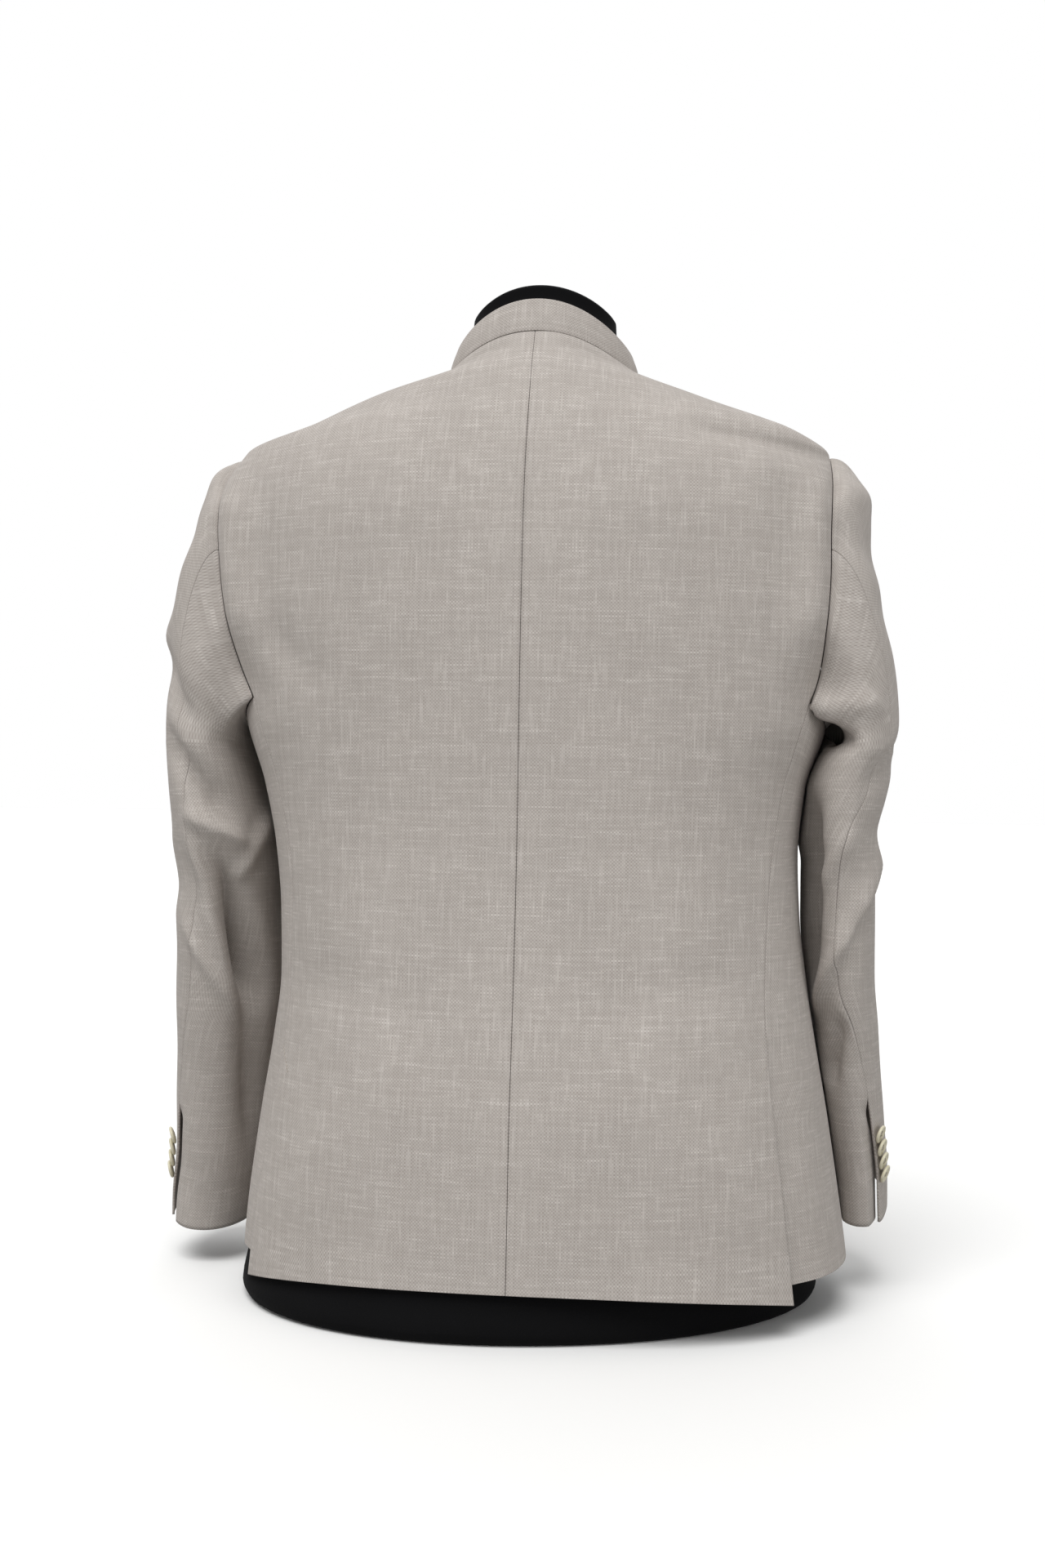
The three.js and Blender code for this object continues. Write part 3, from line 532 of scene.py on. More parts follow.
def yarns(tree, along, across, settings):
    """Brightness of one set of parallel yarns: each has its own slubs, which start anywhere."""
    number = add(tree, "Math", {0: across, 1: settings.thread_pitch}, operation="DIVIDE")
    whole = add(tree, "Math", {0: number}, operation="FLOOR")
    own = add(tree, "TexWhiteNoise", {"W": whole}, noise_dimensions="1D")
    shifted = add(tree, "Math", {0: own, 1: 400.0}, operation="MULTIPLY")
    length = add(tree, "Math", {0: along, 1: settings.slub_length}, operation="DIVIDE")
    place = add(tree, "Math", {0: length, 1: shifted}, operation="ADD")
    slub = add(
        tree,
        "TexNoise",
        {"W": place, "Scale": 1.0, "Detail": 3.0, "Roughness": 0.55},
        noise_dimensions="1D",
    )
    # Most of a yarn is even; now and then it swells into a pale slub.
    pale = add(
        tree,
        "MapRange",
        {"Value": slub, "From Min": 0.5, "From Max": 0.8, "To Min": 0.0, "To Max": 0.28},
    )
    return add(tree, "Math", {0: own, 1: 0.12, 2: pale}, operation="MULTIPLY_ADD")


def plain_weave_suiting(tree, settings):
    """Plain weave of linen and wool, fused: a slubbed yarn in both directions, light on greige.

    The eye sees a matt cloth with a fine cross of painted light and shade where yarns lie over and
    under, single thick yarns that run a few centimetres and fade, and a faint bloom where it turns
    away.
    """
    place = add(tree, "UVMap", {}, uv_map="threads")
    split = add(tree, "SeparateXYZ", {"Vector": place})
    weft = yarns(tree, split.outputs["X"], split.outputs["Y"], settings)
    warp = yarns(tree, split.outputs["Y"], split.outputs["X"], settings)
    # Over one and under one, at the yarn's pitch: 0.6 mm on the cloth, drawn at twice that to show.
    turns = add(
        tree, "VectorMath", {0: place, "Scale": math.pi / settings.thread_pitch}, operation="SCALE"
    )
    parts = add(tree, "SeparateXYZ", {"Vector": turns})
    waves = [add(tree, "Math", {0: parts.outputs[i]}, operation="SINE") for i in (0, 1)]
    weave = add(tree, "Math", {0: waves[0], 1: waves[1]}, operation="MULTIPLY")
    over = add(tree, "Math", {0: weave, 1: 0.45, 2: 0.5}, operation="MULTIPLY_ADD")
    yarn = add(tree, "Mix", {0: over, 2: warp, 3: weft}, data_type="FLOAT")
    # Painted light and shade of the weave: where a yarn lies over it is made paler, where it dips
    # under darker.
    yarn_tone_and_weave_shade = add(tree, "Math", {0: weave, 1: 0.16, 2: yarn}, operation="MULTIPLY_ADD")
    ranged = add(
        tree,
        "MapRange",
        {"Value": yarn_tone_and_weave_shade, "From Min": -0.32, "From Max": 0.5, "To Min": 0.0, "To Max": 1.0},
        clamp=True,
    )
    colours = add(tree, "ValToRGB", {0: ranged})
    ramp = colours.color_ramp
    # The ramp runs from painted shade under the crossings, through the ground yarn, to the pale
    # slubs, which also carry the painted light on the crossings.
    ramp.elements[0].color = tinted(settings.shadow_yarn)
    ramp.elements[1].color = tinted(settings.slub_yarn)
    ramp.elements.new(0.5).color = tinted(settings.ground_yarn)
    # Dye takes a little unevenly over hand widths of cloth.
    cloud = add(tree, "TexNoise", {"Vector": place, "Scale": 14.0, "Detail": 2.0})
    shade = add(
        tree,
        "MapRange",
        {"Value": cloud, "From Min": 0.3, "From Max": 0.7, "To Min": 0.97, "To Max": 1.03},
    )
    tint = add(tree, "VectorMath", {0: colours, "Scale": shade}, operation="SCALE")
    bump = add(tree, "Bump", {"Height": yarn_tone_and_weave_shade, "Strength": 0.3, "Distance": 0.0004})
    return add(
        tree,
        "BsdfPrincipled",
        {
            "Base Color": tint,
            "Roughness": 0.92,
            "IOR": 1.5,
            "Specular IOR Level": 0.2,
            "Sheen Weight": 0.06,
            "Sheen Roughness": 0.4,
            "Normal": bump,
        },
    )


def cotton_jersey(tree, settings):
    """Black cotton jersey pulled tight over the form: nearly no light comes back; fine wales."""
    place = add(tree, "TexCoord", {}).outputs["Object"]
    # Knit wales 1.4 mm apart, drawn coarser than the real 0.9 mm so that they show up close.
    mapped = add(tree, "Mapping", {"Vector": place, "Scale": (1 / 0.0014, 1 / 0.0014, 1 / 0.0028)})
    knit = add(tree, "TexNoise", {"Vector": mapped, "Scale": 1.0, "Detail": 1.0})
    dust = add(tree, "TexNoise", {"Vector": place, "Scale": 22.0, "Detail": 4.0})
    mixed = add(
        tree,
        "Mix",
        {0: dust, 6: tinted(settings.jersey), 7: tinted(settings.jersey, 1.9)},
        data_type="RGBA",
    )
    bump = add(tree, "Bump", {"Height": knit, "Strength": 0.4, "Distance": 0.0004})
    return add(
        tree,
        "BsdfPrincipled",
        {
            "Base Color": mixed.outputs[2],
            "Roughness": 0.9,
            "Specular IOR Level": 0.12,
            "Sheen Weight": 0.02,
            "Sheen Roughness": 0.5,
            "Normal": bump,
        },
    )


def polyester_button(tree, settings):
    """Cast and turned polyester: ivory, a satin polish, with faint cloudy layers as horn has."""
    place = add(tree, "TexCoord", {}).outputs["Object"]
    mapped = add(tree, "Mapping", {"Vector": place, "Scale": (1 / 0.009, 1 / 0.009, 1 / 0.004)})
    cloud = add(
        tree, "TexNoise", {"Vector": mapped, "Scale": 1.0, "Detail": 3.0, "Distortion": 1.2}
    )
    mixed = add(
        tree,
        "Mix",
        {0: cloud, 6: tinted(settings.button_dark), 7: tinted(settings.button_light)},
        data_type="RGBA",
    )
    polish = add(tree, "TexNoise", {"Vector": place, "Scale": 900.0, "Detail": 2.0})
    rough = add(
        tree,
        "MapRange",
        {"Value": polish, "From Min": 0.3, "From Max": 0.7, "To Min": 0.24, "To Max": 0.36},
    )
    return add(
        tree, "BsdfPrincipled", {"Base Color": mixed.outputs[2], "Roughness": rough, "IOR": 1.54}
    )


def sewing_thread(tree, settings):
    """Two-ply polyester thread: a soft shine, with painted shade in the grooves of its twist."""
    place = add(tree, "TexCoord", {}).outputs["Object"]
    turns = add(
        tree,
        "TexWave",
        {"Vector": place, "Scale": 1 / 0.0012, "Distortion": 1.0},
        bands_direction="DIAGONAL",
    )
    # Painted shade: a darker copy of the thread's colour in diagonal bands, the grooves between the
    # two plies.
    mixed = add(
        tree,
        "Mix",
        {0: turns.outputs["Fac"], 6: tinted(settings.thread, 0.72), 7: tinted(settings.thread)},
        data_type="RGBA",
    )
    return add(tree, "BsdfPrincipled", {"Base Color": mixed.outputs[2], "Roughness": 0.55})


def studio_floor(tree, settings):
    """Matt white paint rolled on a smooth board: pale and even, with the roller's faint stipple."""
    place = add(tree, "TexCoord", {}).outputs["Object"]
    stipple = add(tree, "TexNoise", {"Vector": place, "Scale": 250.0, "Detail": 2.0})
    mixed = add(
        tree,
        "Mix",
        {0: stipple, 6: tinted(settings.floor, 0.985), 7: tinted(settings.floor)},
        data_type="RGBA",
    )
    # White to the eye, as the surround is, but it throws little light back up under the folds.
    seen = add(tree, "LightPath", {})
    shown = add(
        tree,
        "Mix",
        {
            0: seen.outputs["Is Camera Ray"],
            6: tinted(settings.floor, settings.floor_bounce),
            7: mixed.outputs[2],
        },
        data_type="RGBA",
    )
    return add(tree, "BsdfPrincipled", {"Base Color": shown.outputs[2], "Roughness": 0.8})


def finish_for(make, settings):
    """The material of a finish, made the first time that a piece asks for it."""
    name = FINISHES[make][0]
    return bpy.data.materials.get(name) or new_material(name, make, settings)


# Each finish's material name and the slot of the record that it fills.
FINISHES = {
    plain_weave_suiting: ("Slubbed plain weave suiting", "suiting"),
    cotton_jersey: ("Black cotton jersey", "form_jersey"),
    polyester_button: ("Turned ivory polyester", "buttons"),
    sewing_thread: ("Twisted polyester thread", "suiting"),
}


def put_in_scene(name, bm, make, settings, replaced=()):
    """Turns a finished bmesh into a piece that rides on the body and has its finish."""
    mesh = bpy.data.meshes.new(name)
    bm.to_mesh(mesh)
    bm.free()
    for polygon in mesh.polygons:
        polygon.use_smooth = True
    mesh.materials.append(finish_for(make, settings))
    piece = bpy.data.objects.new(name, mesh)
    bpy.context.scene.collection.objects.link(piece)
    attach(piece, "root")
    if replaced:
        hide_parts(*replaced)
    return piece


def threads_of(points, origin=0):
    """Lengths in metres along the weft and the warp at each point of a grid."""
    across = measured(points, 1)
    across -= across[:, origin : origin + 1]
    along = measured(points, 0)[:, origin]
    return np.stack(np.broadcast_arrays(across, along[:, None]), -1) * MM


def laid_grid(points, threads, normals):
    """A bmesh grid with its vertices moved onto the cloth and a UV map along its threads."""
    rows, across = points.shape[:2]
    bm = bmesh.new()
    uv = bm.loops.layers.uv.new("threads")
    bmesh.ops.create_grid(bm, x_segments=across - 1, y_segments=rows - 1, size=1)
    moved, marks = (points * MM).tolist(), threads.tolist()
    for v in bm.verts:
        r, c = round((v.co.y + 1) / 2 * (rows - 1)), round((v.co.x + 1) / 2 * (across - 1))
        v.co = moved[r][c]
        for loop in v.link_loops:
            loop[uv].uv = marks[r][c]
    bm.normal_update()
    out = np.array([f.normal[:] for f in bm.faces]).reshape(rows - 1, across - 1, 3)
    if (out * normals[:-1, :-1]).sum() < 0:
        bmesh.ops.reverse_faces(bm, faces=bm.faces)
    return bm


def add_cloth(name, points, normals, settings, origin=0):
    """One cut piece: laid, given its thickness inwards and the suiting's finish, in place of its
    solid.
    """
    bm = laid_grid(points, threads_of(points, origin), normals)
    piece = put_in_scene(name + "_cloth", bm, plain_weave_suiting, settings, [name])
    wall = piece.modifiers.new("Thickness", "SOLIDIFY")
    wall.thickness = settings.cloth_wall
    wall.offset = -1
    wall.use_even_offset = False
    return piece


def grid_normals(points, side, wrap=False):
    """Direction out of a grid of points; a wrapped grid's columns close on themselves."""
    if wrap:
        around = np.roll(points, -1, 1) - np.roll(points, 1, 1)
    else:
        around = np.gradient(points, axis=1)
    down = np.gradient(points, axis=0)
    return unit(np.cross(around, down)) * SIGN[side]


def make_back(side, settings):
    """A back, from the hem to the neck, with the vent's edge standing a little open."""
    levels = level_places(side, 60, BACK_HEM["centre"], SHOULDER_TIP, 3.4)
    levels = np.concatenate((levels[:-1], level_places(side, 90, SHOULDER_TIP, NECK_SEAM, 3.2)[1:]))
    u = spread(235, 3.3)
    z = levels[:, None]
    over = armhole(side, "back", np.minimum(z, SHOULDER_TIP))
    edge = np.where(z <= BODY_CORNER, back_seam(side, z), over)
    edge = np.where(z >= SHOULDER_TIP, 90, edge)
    angle = edge * u
    drop = np.clip((HEM_BEND - z) / (HEM_BEND - BACK_HEM["centre"]), 0, 1)
    height = z + (BACK_HEM[side] - BACK_HEM["centre"]) * u**2 * drop
    points = coat(side, angle, height)
    normals = coat_out(side, angle, height)
    flare = VENT_STAND * vented(height) * smooth((u - 0.5) / 0.5)
    inland = smooth((1 - u) * 8)
    off = np.abs(points[..., 0])
    creases = fold_sum(off, points[..., 2], BACK_FOLDS[side]) * inland
    uneven = ripple(off, points[..., 2] * 0.6, 3 + SIGN[side], 120, 0.5) * inland * smooth(u * 8)
    points = points + normals * (flare + creases + uneven)[..., None]
    points[..., 1] += armhole_lift(u, height)
    normals = grid_normals(points, side) * -1
    points = turn_in(points, normals, ("start", "end", "top"))
    add_cloth(f"back_{side}", points, normals, settings)


def make_side(side, settings):
    """A side body, from the hem to the underarm, which reaches on under the back at the vent."""
    levels = level_places(side, 90, SIDE_HEM[side], BODY_CORNER, 3.4)
    u = spread(140, 3.3)
    z = levels[:, None]
    start = back_seam(side, z) - 7 * vented(z)
    angle = lerp(start, FRONT_SEAM, u)
    dip = UNDERARM_DIP * np.sin(math.pi * u) ** 1.2
    height = z - dip * smooth((z - 370) / (BODY_CORNER - 370))
    points = coat(side, angle, height)
    normals = coat_out(side, angle, height)
    past = smooth((back_seam(side, height) + 12 - angle) / 10)
    points = points - normals * (UNDERLAP * sunk(height) * past)[..., None]
    points = turn_in(points, normals, ("start", "end", "top"))
    add_cloth(f"side_{side}", points, normals, settings)


def make_front(side, settings):
    """A front, from the hem to the neck, and past the centre line; the right one lies under."""
    levels = level_places(side, 130, FRONT_HEM, SHOULDER_TIP, 3.6)
    levels = np.concatenate((levels[:-1], level_places(side, 90, SHOULDER_TIP, NECK_SEAM, 3.4)[1:]))
    z = levels[:, None]
    ring = coat_ring(z)
    lap = np.degrees(np.arcsin((FRONT_LAP / ring[OTHER[side]]) ** (ring["power"] / 2)))
    over = armhole(side, "front", np.minimum(z, SHOULDER_TIP))
    edge = np.where(z >= SHOULDER_TIP, 90, np.where(z <= BODY_CORNER, FRONT_SEAM, over))
    u = spread(240, 3.6)
    angle = np.concatenate(
        (lerp(edge, 180, u), 180 + lap * np.array([0.3, 0.55, 0.75, 0.9, 1.0])), axis=1
    )
    points = coat(side, angle, z)
    normals = coat_out(side, angle, z + 0 * angle)
    if side == "right":
        inner = smooth((FRONT_LAP + 72 + points[..., 0]) / 46) * smooth((angle - 135) / 20)
        points = points - normals * (UNDERLAP * inner)[..., None]
    points = turn_in(points, normals, ("start", "top"))
    points = turn_in(points, normals, ("end",), 0.6, 1.6)
    add_cloth(f"front_{side}", points, normals, settings)


def collar_grid():
    """Points of the stand collar, from the neck seam up to its edge, and round from end to end."""
    seam = coat_ring(np.array(float(NECK_SEAM)))
    seam["z"] = NECK_SEAM + SEAM
    end = 180 - math.degrees(math.asin(COLLAR_GAP / 2 / COLLAR_EDGE["left"]))
    turn = lerp(-end, end, spread(440, 3.2))
    up = spread(34, 2.0)[:, None]
    low, high = (
        np.where((turn < 0)[:, None], outline("left", -turn, ring), outline("right", turn, ring))
        for ring in (seam, COLLAR_EDGE)
    )
    points = lerp(low[None], high[None], up[..., None])
    flat = points * [1, 1, 0]
    belly = 1.2 * np.sin(math.pi * up) + 0.5 * np.exp(-(((up - 1) / 0.12) ** 2))
    return points + unit(flat) * belly[..., None]


def make_collar(settings):
    """The collar in one piece, with a pressed fold along its upper edge."""
    points = collar_grid()
    normals = unit(np.cross(np.gradient(points, axis=1), np.gradient(points, axis=0)))
    row, middle = len(points) // 2, points.shape[1] // 2
    if normals[row, middle] @ (points[row, middle] * [1, 1, 0]) < 0:
        normals = -normals
    points = turn_in(points, normals, ("bottom",))
    points = turn_in(points, normals, ("top",), 0.5, 1.4)
    add_cloth("collar", points, normals, settings, middle)


def armhole_loop(side):
    """The armhole as a dense line of points, with how far round it each of its marks lies.

    It runs from the sleeve's back seam over the shoulder tip to its front seam, then under the arm
    and up to the back seam again; the marks are the corners of the solid's own columns.
    """
    runs = [("back", a, b) for a, b in ((580, 610), (610, 632), (632, 650), (650, 662))]
    heights = (662, 650, 632, 610, 580, 545, 515, 490, 465)
    runs += [("front", a, b) for a, b in zip(heights, heights[1:])]
    runs += [("dip", a / 5, (a - 1) / 5) for a in (5, 4, 3, 2, 1)]
    runs += [("back", a, b) for a, b in ((465, 490), (490, 515), (515, 545), (545, 580))]
    angles, heights, lifts = [], [], []
    for edge, a, b in runs:
        v = np.linspace(a, b, RUN_STEPS, endpoint=False)
        if edge == "dip":
            angles.append(lerp(back_seam(side, BODY_CORNER), FRONT_SEAM, v))
            heights.append(BODY_CORNER - UNDERARM_DIP * np.sin(math.pi * v) ** 1.2)
        else:
            angles.append(armhole(side, edge, v))
            heights.append(v)
        lifts.append(armhole_lift(1, v) if edge == "back" else 0 * v)
    angle = np.append(np.concatenate(angles), angles[0][0])
    height = np.append(np.concatenate(heights), heights[0][0])
    line = coat(side, angle, height)
    line[:, 1] += np.append(np.concatenate(lifts), lifts[0][0])
    out = coat_out(side, angle, height)
    reach = measured(line, 0)
    return {"p": line, "out": out, "z": height, "reach": reach, "marks": reach[::RUN_STEPS]}


def sleeve_angle(side, column, z):
    """Angle round the sleeve of one of the armhole's marks, at a height."""
    seam = track(SLEEVES[side], "seam", z)
    top = lerp(seam, SLEEVE_FRONT_SEAM, column / TOP_MARKS)
    under = lerp(SLEEVE_FRONT_SEAM, seam - 360, (column - TOP_MARKS) / UNDER_MARKS)
    return np.where(column <= TOP_MARKS, top, under)


def clear_of_coat(side, points, gap=1.6):
    """What would cut into the coat's side is pushed clear of it."""
    ring = coat_ring(points[..., 2])
    y = np.abs(points[..., 1])
    depth = np.where(points[..., 1] >= 0, ring["back"], ring["front"]) + gap
    inside = np.clip(1 - (np.minimum(y, depth) / depth) ** ring["power"], 0, 1)
    across = (ring[side] + gap) * inside ** (1 / ring["power"])
    pushed = points.copy()
    pushed[..., 0] = np.maximum(np.abs(points[..., 0]), across) * SIGN[side]
    return pushed


def sleeve_point(side, angle, z):
    """Outside of the sleeve's tube."""
    names = ("outer", "inner", "middle", "deep")
    outer, inner, middle, deep = (track(SLEEVES[side], name, z) for name in names)
    c, s = np.cos(np.radians(angle)), np.sin(np.radians(angle))
    y = middle + deep * np.sign(s) * np.abs(s) ** (2 / SLEEVE_POWER)
    x = (outer + inner) / 2 + (outer - inner) / 2 * np.sign(c) * np.abs(c) ** (2 / SLEEVE_POWER)
    tilt = -CUFF_TILT * (y - middle) * smooth((200 - z) / (200 - CUFF[side]))
    return clear_of_coat(side, np.stack(np.broadcast_arrays(x * SIGN[side], y, z + tilt), -1))


def sleeve_grid(side, column):
    """Points of the sleeve's cap and tube, their angles, and a fade from 0 at the armhole."""
    loop = armhole_loop(side)
    marks = {"z": np.arange(TOP_MARKS + UNDER_MARKS + 1.0), "reach": loop["marks"]}
    reach = track(marks, "reach", column)
    at = lambda v: np.stack([np.interp(reach, loop["reach"], v[:, i]) for i in range(3)], -1)
    start, out = at(loop["p"]), at(loop["out"])
    start_z = np.interp(reach, loop["reach"], loop["z"])
    end = sleeve_point(side, sleeve_angle(side, column, BICEPS), BICEPS)
    u = spread(200, 3.3, (1, 0))[:, None]
    span = np.linalg.norm(start - end, axis=-1)
    high = smooth((start_z - BODY_CORNER) / (SHOULDER_TIP - BODY_CORNER))[:, None]
    # Cloth leaves the armhole sideways at the shoulder, and outwards and down under the arm.
    leave = out.copy()
    leave[:, 2] = -0.55
    leave = unit(lerp(leave, np.array([SIGN[side], 0, 0.12]), high))
    pull = leave * (lerp(0.35, 0.46, high) * span[:, None] + 6)
    upright = np.array([0, 0, 1.2]) * span[:, None]
    cap = curve(u, start + leave * SEAM * 0.6, pull, end, upright)
    tall = BICEPS - CUFF[side]
    z = np.linspace(BICEPS, CUFF[side], round(tall / 3.2))[1:, None]
    tube_angle = sleeve_angle(side, column, z)
    tube = sleeve_point(side, tube_angle, z)
    cap_angle = np.repeat(sleeve_angle(side, column, BICEPS)[None], len(u), 0)
    fade = np.concatenate((np.repeat(smooth(u / 0.1), len(column), 1), np.ones(tube.shape[:2])))
    return np.concatenate((cap, tube)), np.concatenate((cap_angle, tube_angle)), fade


def make_sleeve(side, settings):
    """A top and an under sleeve, cut from one creased tube that hangs from the armhole."""
    first = spread(290, 3.2) * TOP_MARKS
    second = TOP_MARKS + spread(215, 3.4) * UNDER_MARKS
    column = np.concatenate((first, second[1:-1]))
    points, angle, fade = sleeve_grid(side, column)
    normals = grid_normals(points, side, wrap=True)
    turned = np.where(angle < -180, angle + 360, angle) * SLEEVE_ARC
    raised = fold_sum(turned, points[..., 2], SLEEVE_FOLDS[side], SLEEVE_ARC)
    raised += ripple(turned, points[..., 2], 11 + SIGN[side], 85, 0.6) * smooth(fade)
    folded = points + normals * (raised * fade)[..., None]
    folded = lerp(folded, clear_of_coat(side, folded), fade[..., None])
    split = len(first)
    whole = np.concatenate((folded, folded[:, :1]), axis=1)
    out = np.concatenate((normals, normals[:, :1]), axis=1)
    pieces = {
        f"sleeve_top_{side}": (whole[:, :split], out[:, :split]),
        f"sleeve_under_{side}": (whole[:, split - 1 :], out[:, split - 1 :]),
    }
    for name, (grid, facing) in pieces.items():
        grid = turn_in(grid, facing, ("start", "end", "bottom"))
        grid = open_vent(side, name, grid, facing)
        add_cloth(name, grid, facing, settings, grid.shape[1] // 2)


def open_vent(side, name, grid, facing):
    """At the cuff the top sleeve stands a little open over an extension of the under sleeve."""
    top = CUFF[side] + CUFF_VENT
    across = measured(grid, 1)
    z = grid[..., 2]
    if "top" in name:
        near = np.exp(-((across / 14) ** 2))
        return grid + facing * (VENT_STAND * smooth((top + 20 - z) / 75) * near)[..., None]
    past = across[:, -1:] - across
    near = np.clip(1 - past / 12, 0, 1)
    along = unit(grid[:, -1:] - grid[:, -5:-4])
    grid = grid + along * (CUFF_EXTENSION * smooth((top - z) / 25) * near)[..., None]
    sunk_in = (UNDERLAP + 1.6) * smooth((top + 18 - z) / 18) * near**0.8
    return grid - facing * sunk_in[..., None]


def form_grid():
    """The form from its underside to the rim of its neck, closed at the centre back."""
    turn = np.linspace(0, 360, 129)[:-1]
    side_of = turn <= 180
    angle = np.where(side_of, turn, 360 - turn)

    def spin(place):
        both = [place(side, angle) for side in SIDES]
        return np.where(side_of[:, None], both[0], both[1])

    rings = []
    # Up to the shoulders, with close rings round the rolled lower edge.
    lower = np.concatenate(([0, 0.6, 1.6, 3, 5, 7.5], np.arange(10, 631, 7)))
    for z in lower:
        row = {name: track(FORM, name, z) for name in ("half", "back", "front")}
        ring = {
            "z": z,
            "left": row["half"],
            "right": row["half"],
            "back": row["back"],
            "front": row["front"],
            "power": lerp(FORM_BASE["power"], 2.03, smooth((z - 10) / 10)),
            "back_rise": track(COAT, "back_rise", z),
            "front_rise": track(COAT, "front_rise", z),
        }
        points = spin(lambda side, a: outline(side, a, ring))
        upper = FORM_TURN * (1 - smooth((z - 24) / 180))
        t = math.radians(lerp(FORM_BASE["turn"], upper, np.clip((z - 10) / 14, 0, 1)))
        c, s = math.cos(t), math.sin(t)
        rings.append(points @ np.array([[c, s, 0], [-s, c, 0], [0, 0, 1]]))

    def shoulder(side, a, z):
        ring = coat_ring(z)
        for s in SIDES:
            ring[s] = (ring[s] ** -24.0 + FORM_SHOULDER**-24.0) ** (-1 / 24)
        return outline(side, a, ring)

    # Shoulders, which carry the coat and so follow its inside.
    upper = np.concatenate(
        ([650, 656, 662, 667, 672, 677, 681, 686, 690, 694, 699, 703], np.arange(706, 721, 2))
    ).astype(float)
    for z in upper:
        ease = WALL + FORM_EASE + 4 * (1 - smooth((z - 650) / 45))
        inner = ease + (UNDERLAP + 0.6) * smooth((angle - 115) / 25)

        def place(side, a, z=z, inner=inner):
            facing = outward(lambda b, h: shoulder(side, b, h), side, a, np.full_like(a, z))
            return shoulder(side, a, np.full_like(a, z)) - facing * inner[:, None]

        rings.append(spin(place))
    for z in np.concatenate((np.arange(732, 770, 2.5), [770, 771.6, 772.6, 773])):
        ring = {name: track(FORM_NECK, name, z) for name in FORM_NECK if name != "z"}
        ring |= {"z": z, "power": 2.05, "left": ring["half"], "right": ring["half"]}
        rings.append(spin(lambda side, a: outline(side, a, ring)))
    return np.array(rings)


def make_form(settings):
    """Extrudes one circle upwards ring by ring and closes both ends with an inset cap."""
    rings = form_grid() * MM
    bm = bmesh.new()
    circle = bmesh.ops.create_circle(bm, segments=rings.shape[1], radius=1)["verts"]
    circle.sort(key=lambda v: math.atan2(v.co.x, v.co.y) % (2 * math.pi))
    for v, p in zip(circle, rings[0]):
        v.co = p
    edges = list(bm.edges)
    loop = circle
    for ring in rings[1:]:
        made = bmesh.ops.extrude_edge_only(bm, edges=edges)["geom"]
        edges = [g for g in made if isinstance(g, bmesh.types.BMEdge)]
        fresh = {v: v for v in made if isinstance(v, bmesh.types.BMVert)}
        onward = []
        for v in loop:
            for e in v.link_edges:
                w = e.other_vert(v)
                if w in fresh:
                    onward.append(w)
                    break
        edges = [e for e in edges if e.verts[0] in fresh and e.verts[1] in fresh]
        loop = onward
        for v, p in zip(loop, ring):
            v.co = p
    caps = bmesh.ops.holes_fill(bm, edges=bm.edges, sides=0)["faces"]
    for width in (0.004, 0.03):
        bmesh.ops.inset_region(bm, faces=caps, thickness=width, use_even_offset=False)
    bmesh.ops.recalc_face_normals(bm, faces=bm.faces)
    put_in_scene("dress_form_jersey", bm, cotton_jersey, settings, ["dress_form"])


def turned_button(across, thick):
    """A four-hole button: two filled discs with holes through, and a rounded, raised rim."""
    radius, hole, off = across / 2, across * 0.06, across * 0.105
    bm = bmesh.new()

    def ring(r, z, x=0.0, y=0.0, segments=40):
        made = bmesh.ops.create_circle(bm, segments=segments, radius=r)["verts"]
        for v in made:
            v.co += Vector((x, y, z))
        return list(dict.fromkeys(e for v in made for e in v.link_edges))

    # From the dish over the rim to the underside, as shares of the radius and the thickness.
    reach = (0.55, 0.64, 0.74, 0.82, 0.92, 1.0, 0.93, 0.7)
    rise = (BUTTON_DISH, 0.66, 0.92, 1.0, 0.9, 0.55, 0.24, 0.0)
    loops = [ring(radius * r, thick * z) for r, z in zip(reach, rise)]
    for a, b in zip(loops, loops[1:]):
        bmesh.ops.bridge_loops(bm, edges=a + b)
    tops, bottoms = [], []
    for x, y in ((off, off), (-off, off), (-off, -off), (off, -off)):
        tops.append(ring(hole, thick * 0.6, x, y, 12))
        bottoms.append(ring(hole, 0.0, x, y, 12))
        bmesh.ops.bridge_loops(bm, edges=tops[-1] + bottoms[-1])
    for outer, holes in ((loops[0], tops), (loops[-1], bottoms)):
        bmesh.ops.triangle_fill(bm, use_beauty=True, edges=outer + [e for h in holes for e in h])
    bmesh.ops.recalc_face_normals(bm, faces=bm.faces)
    return bm, off


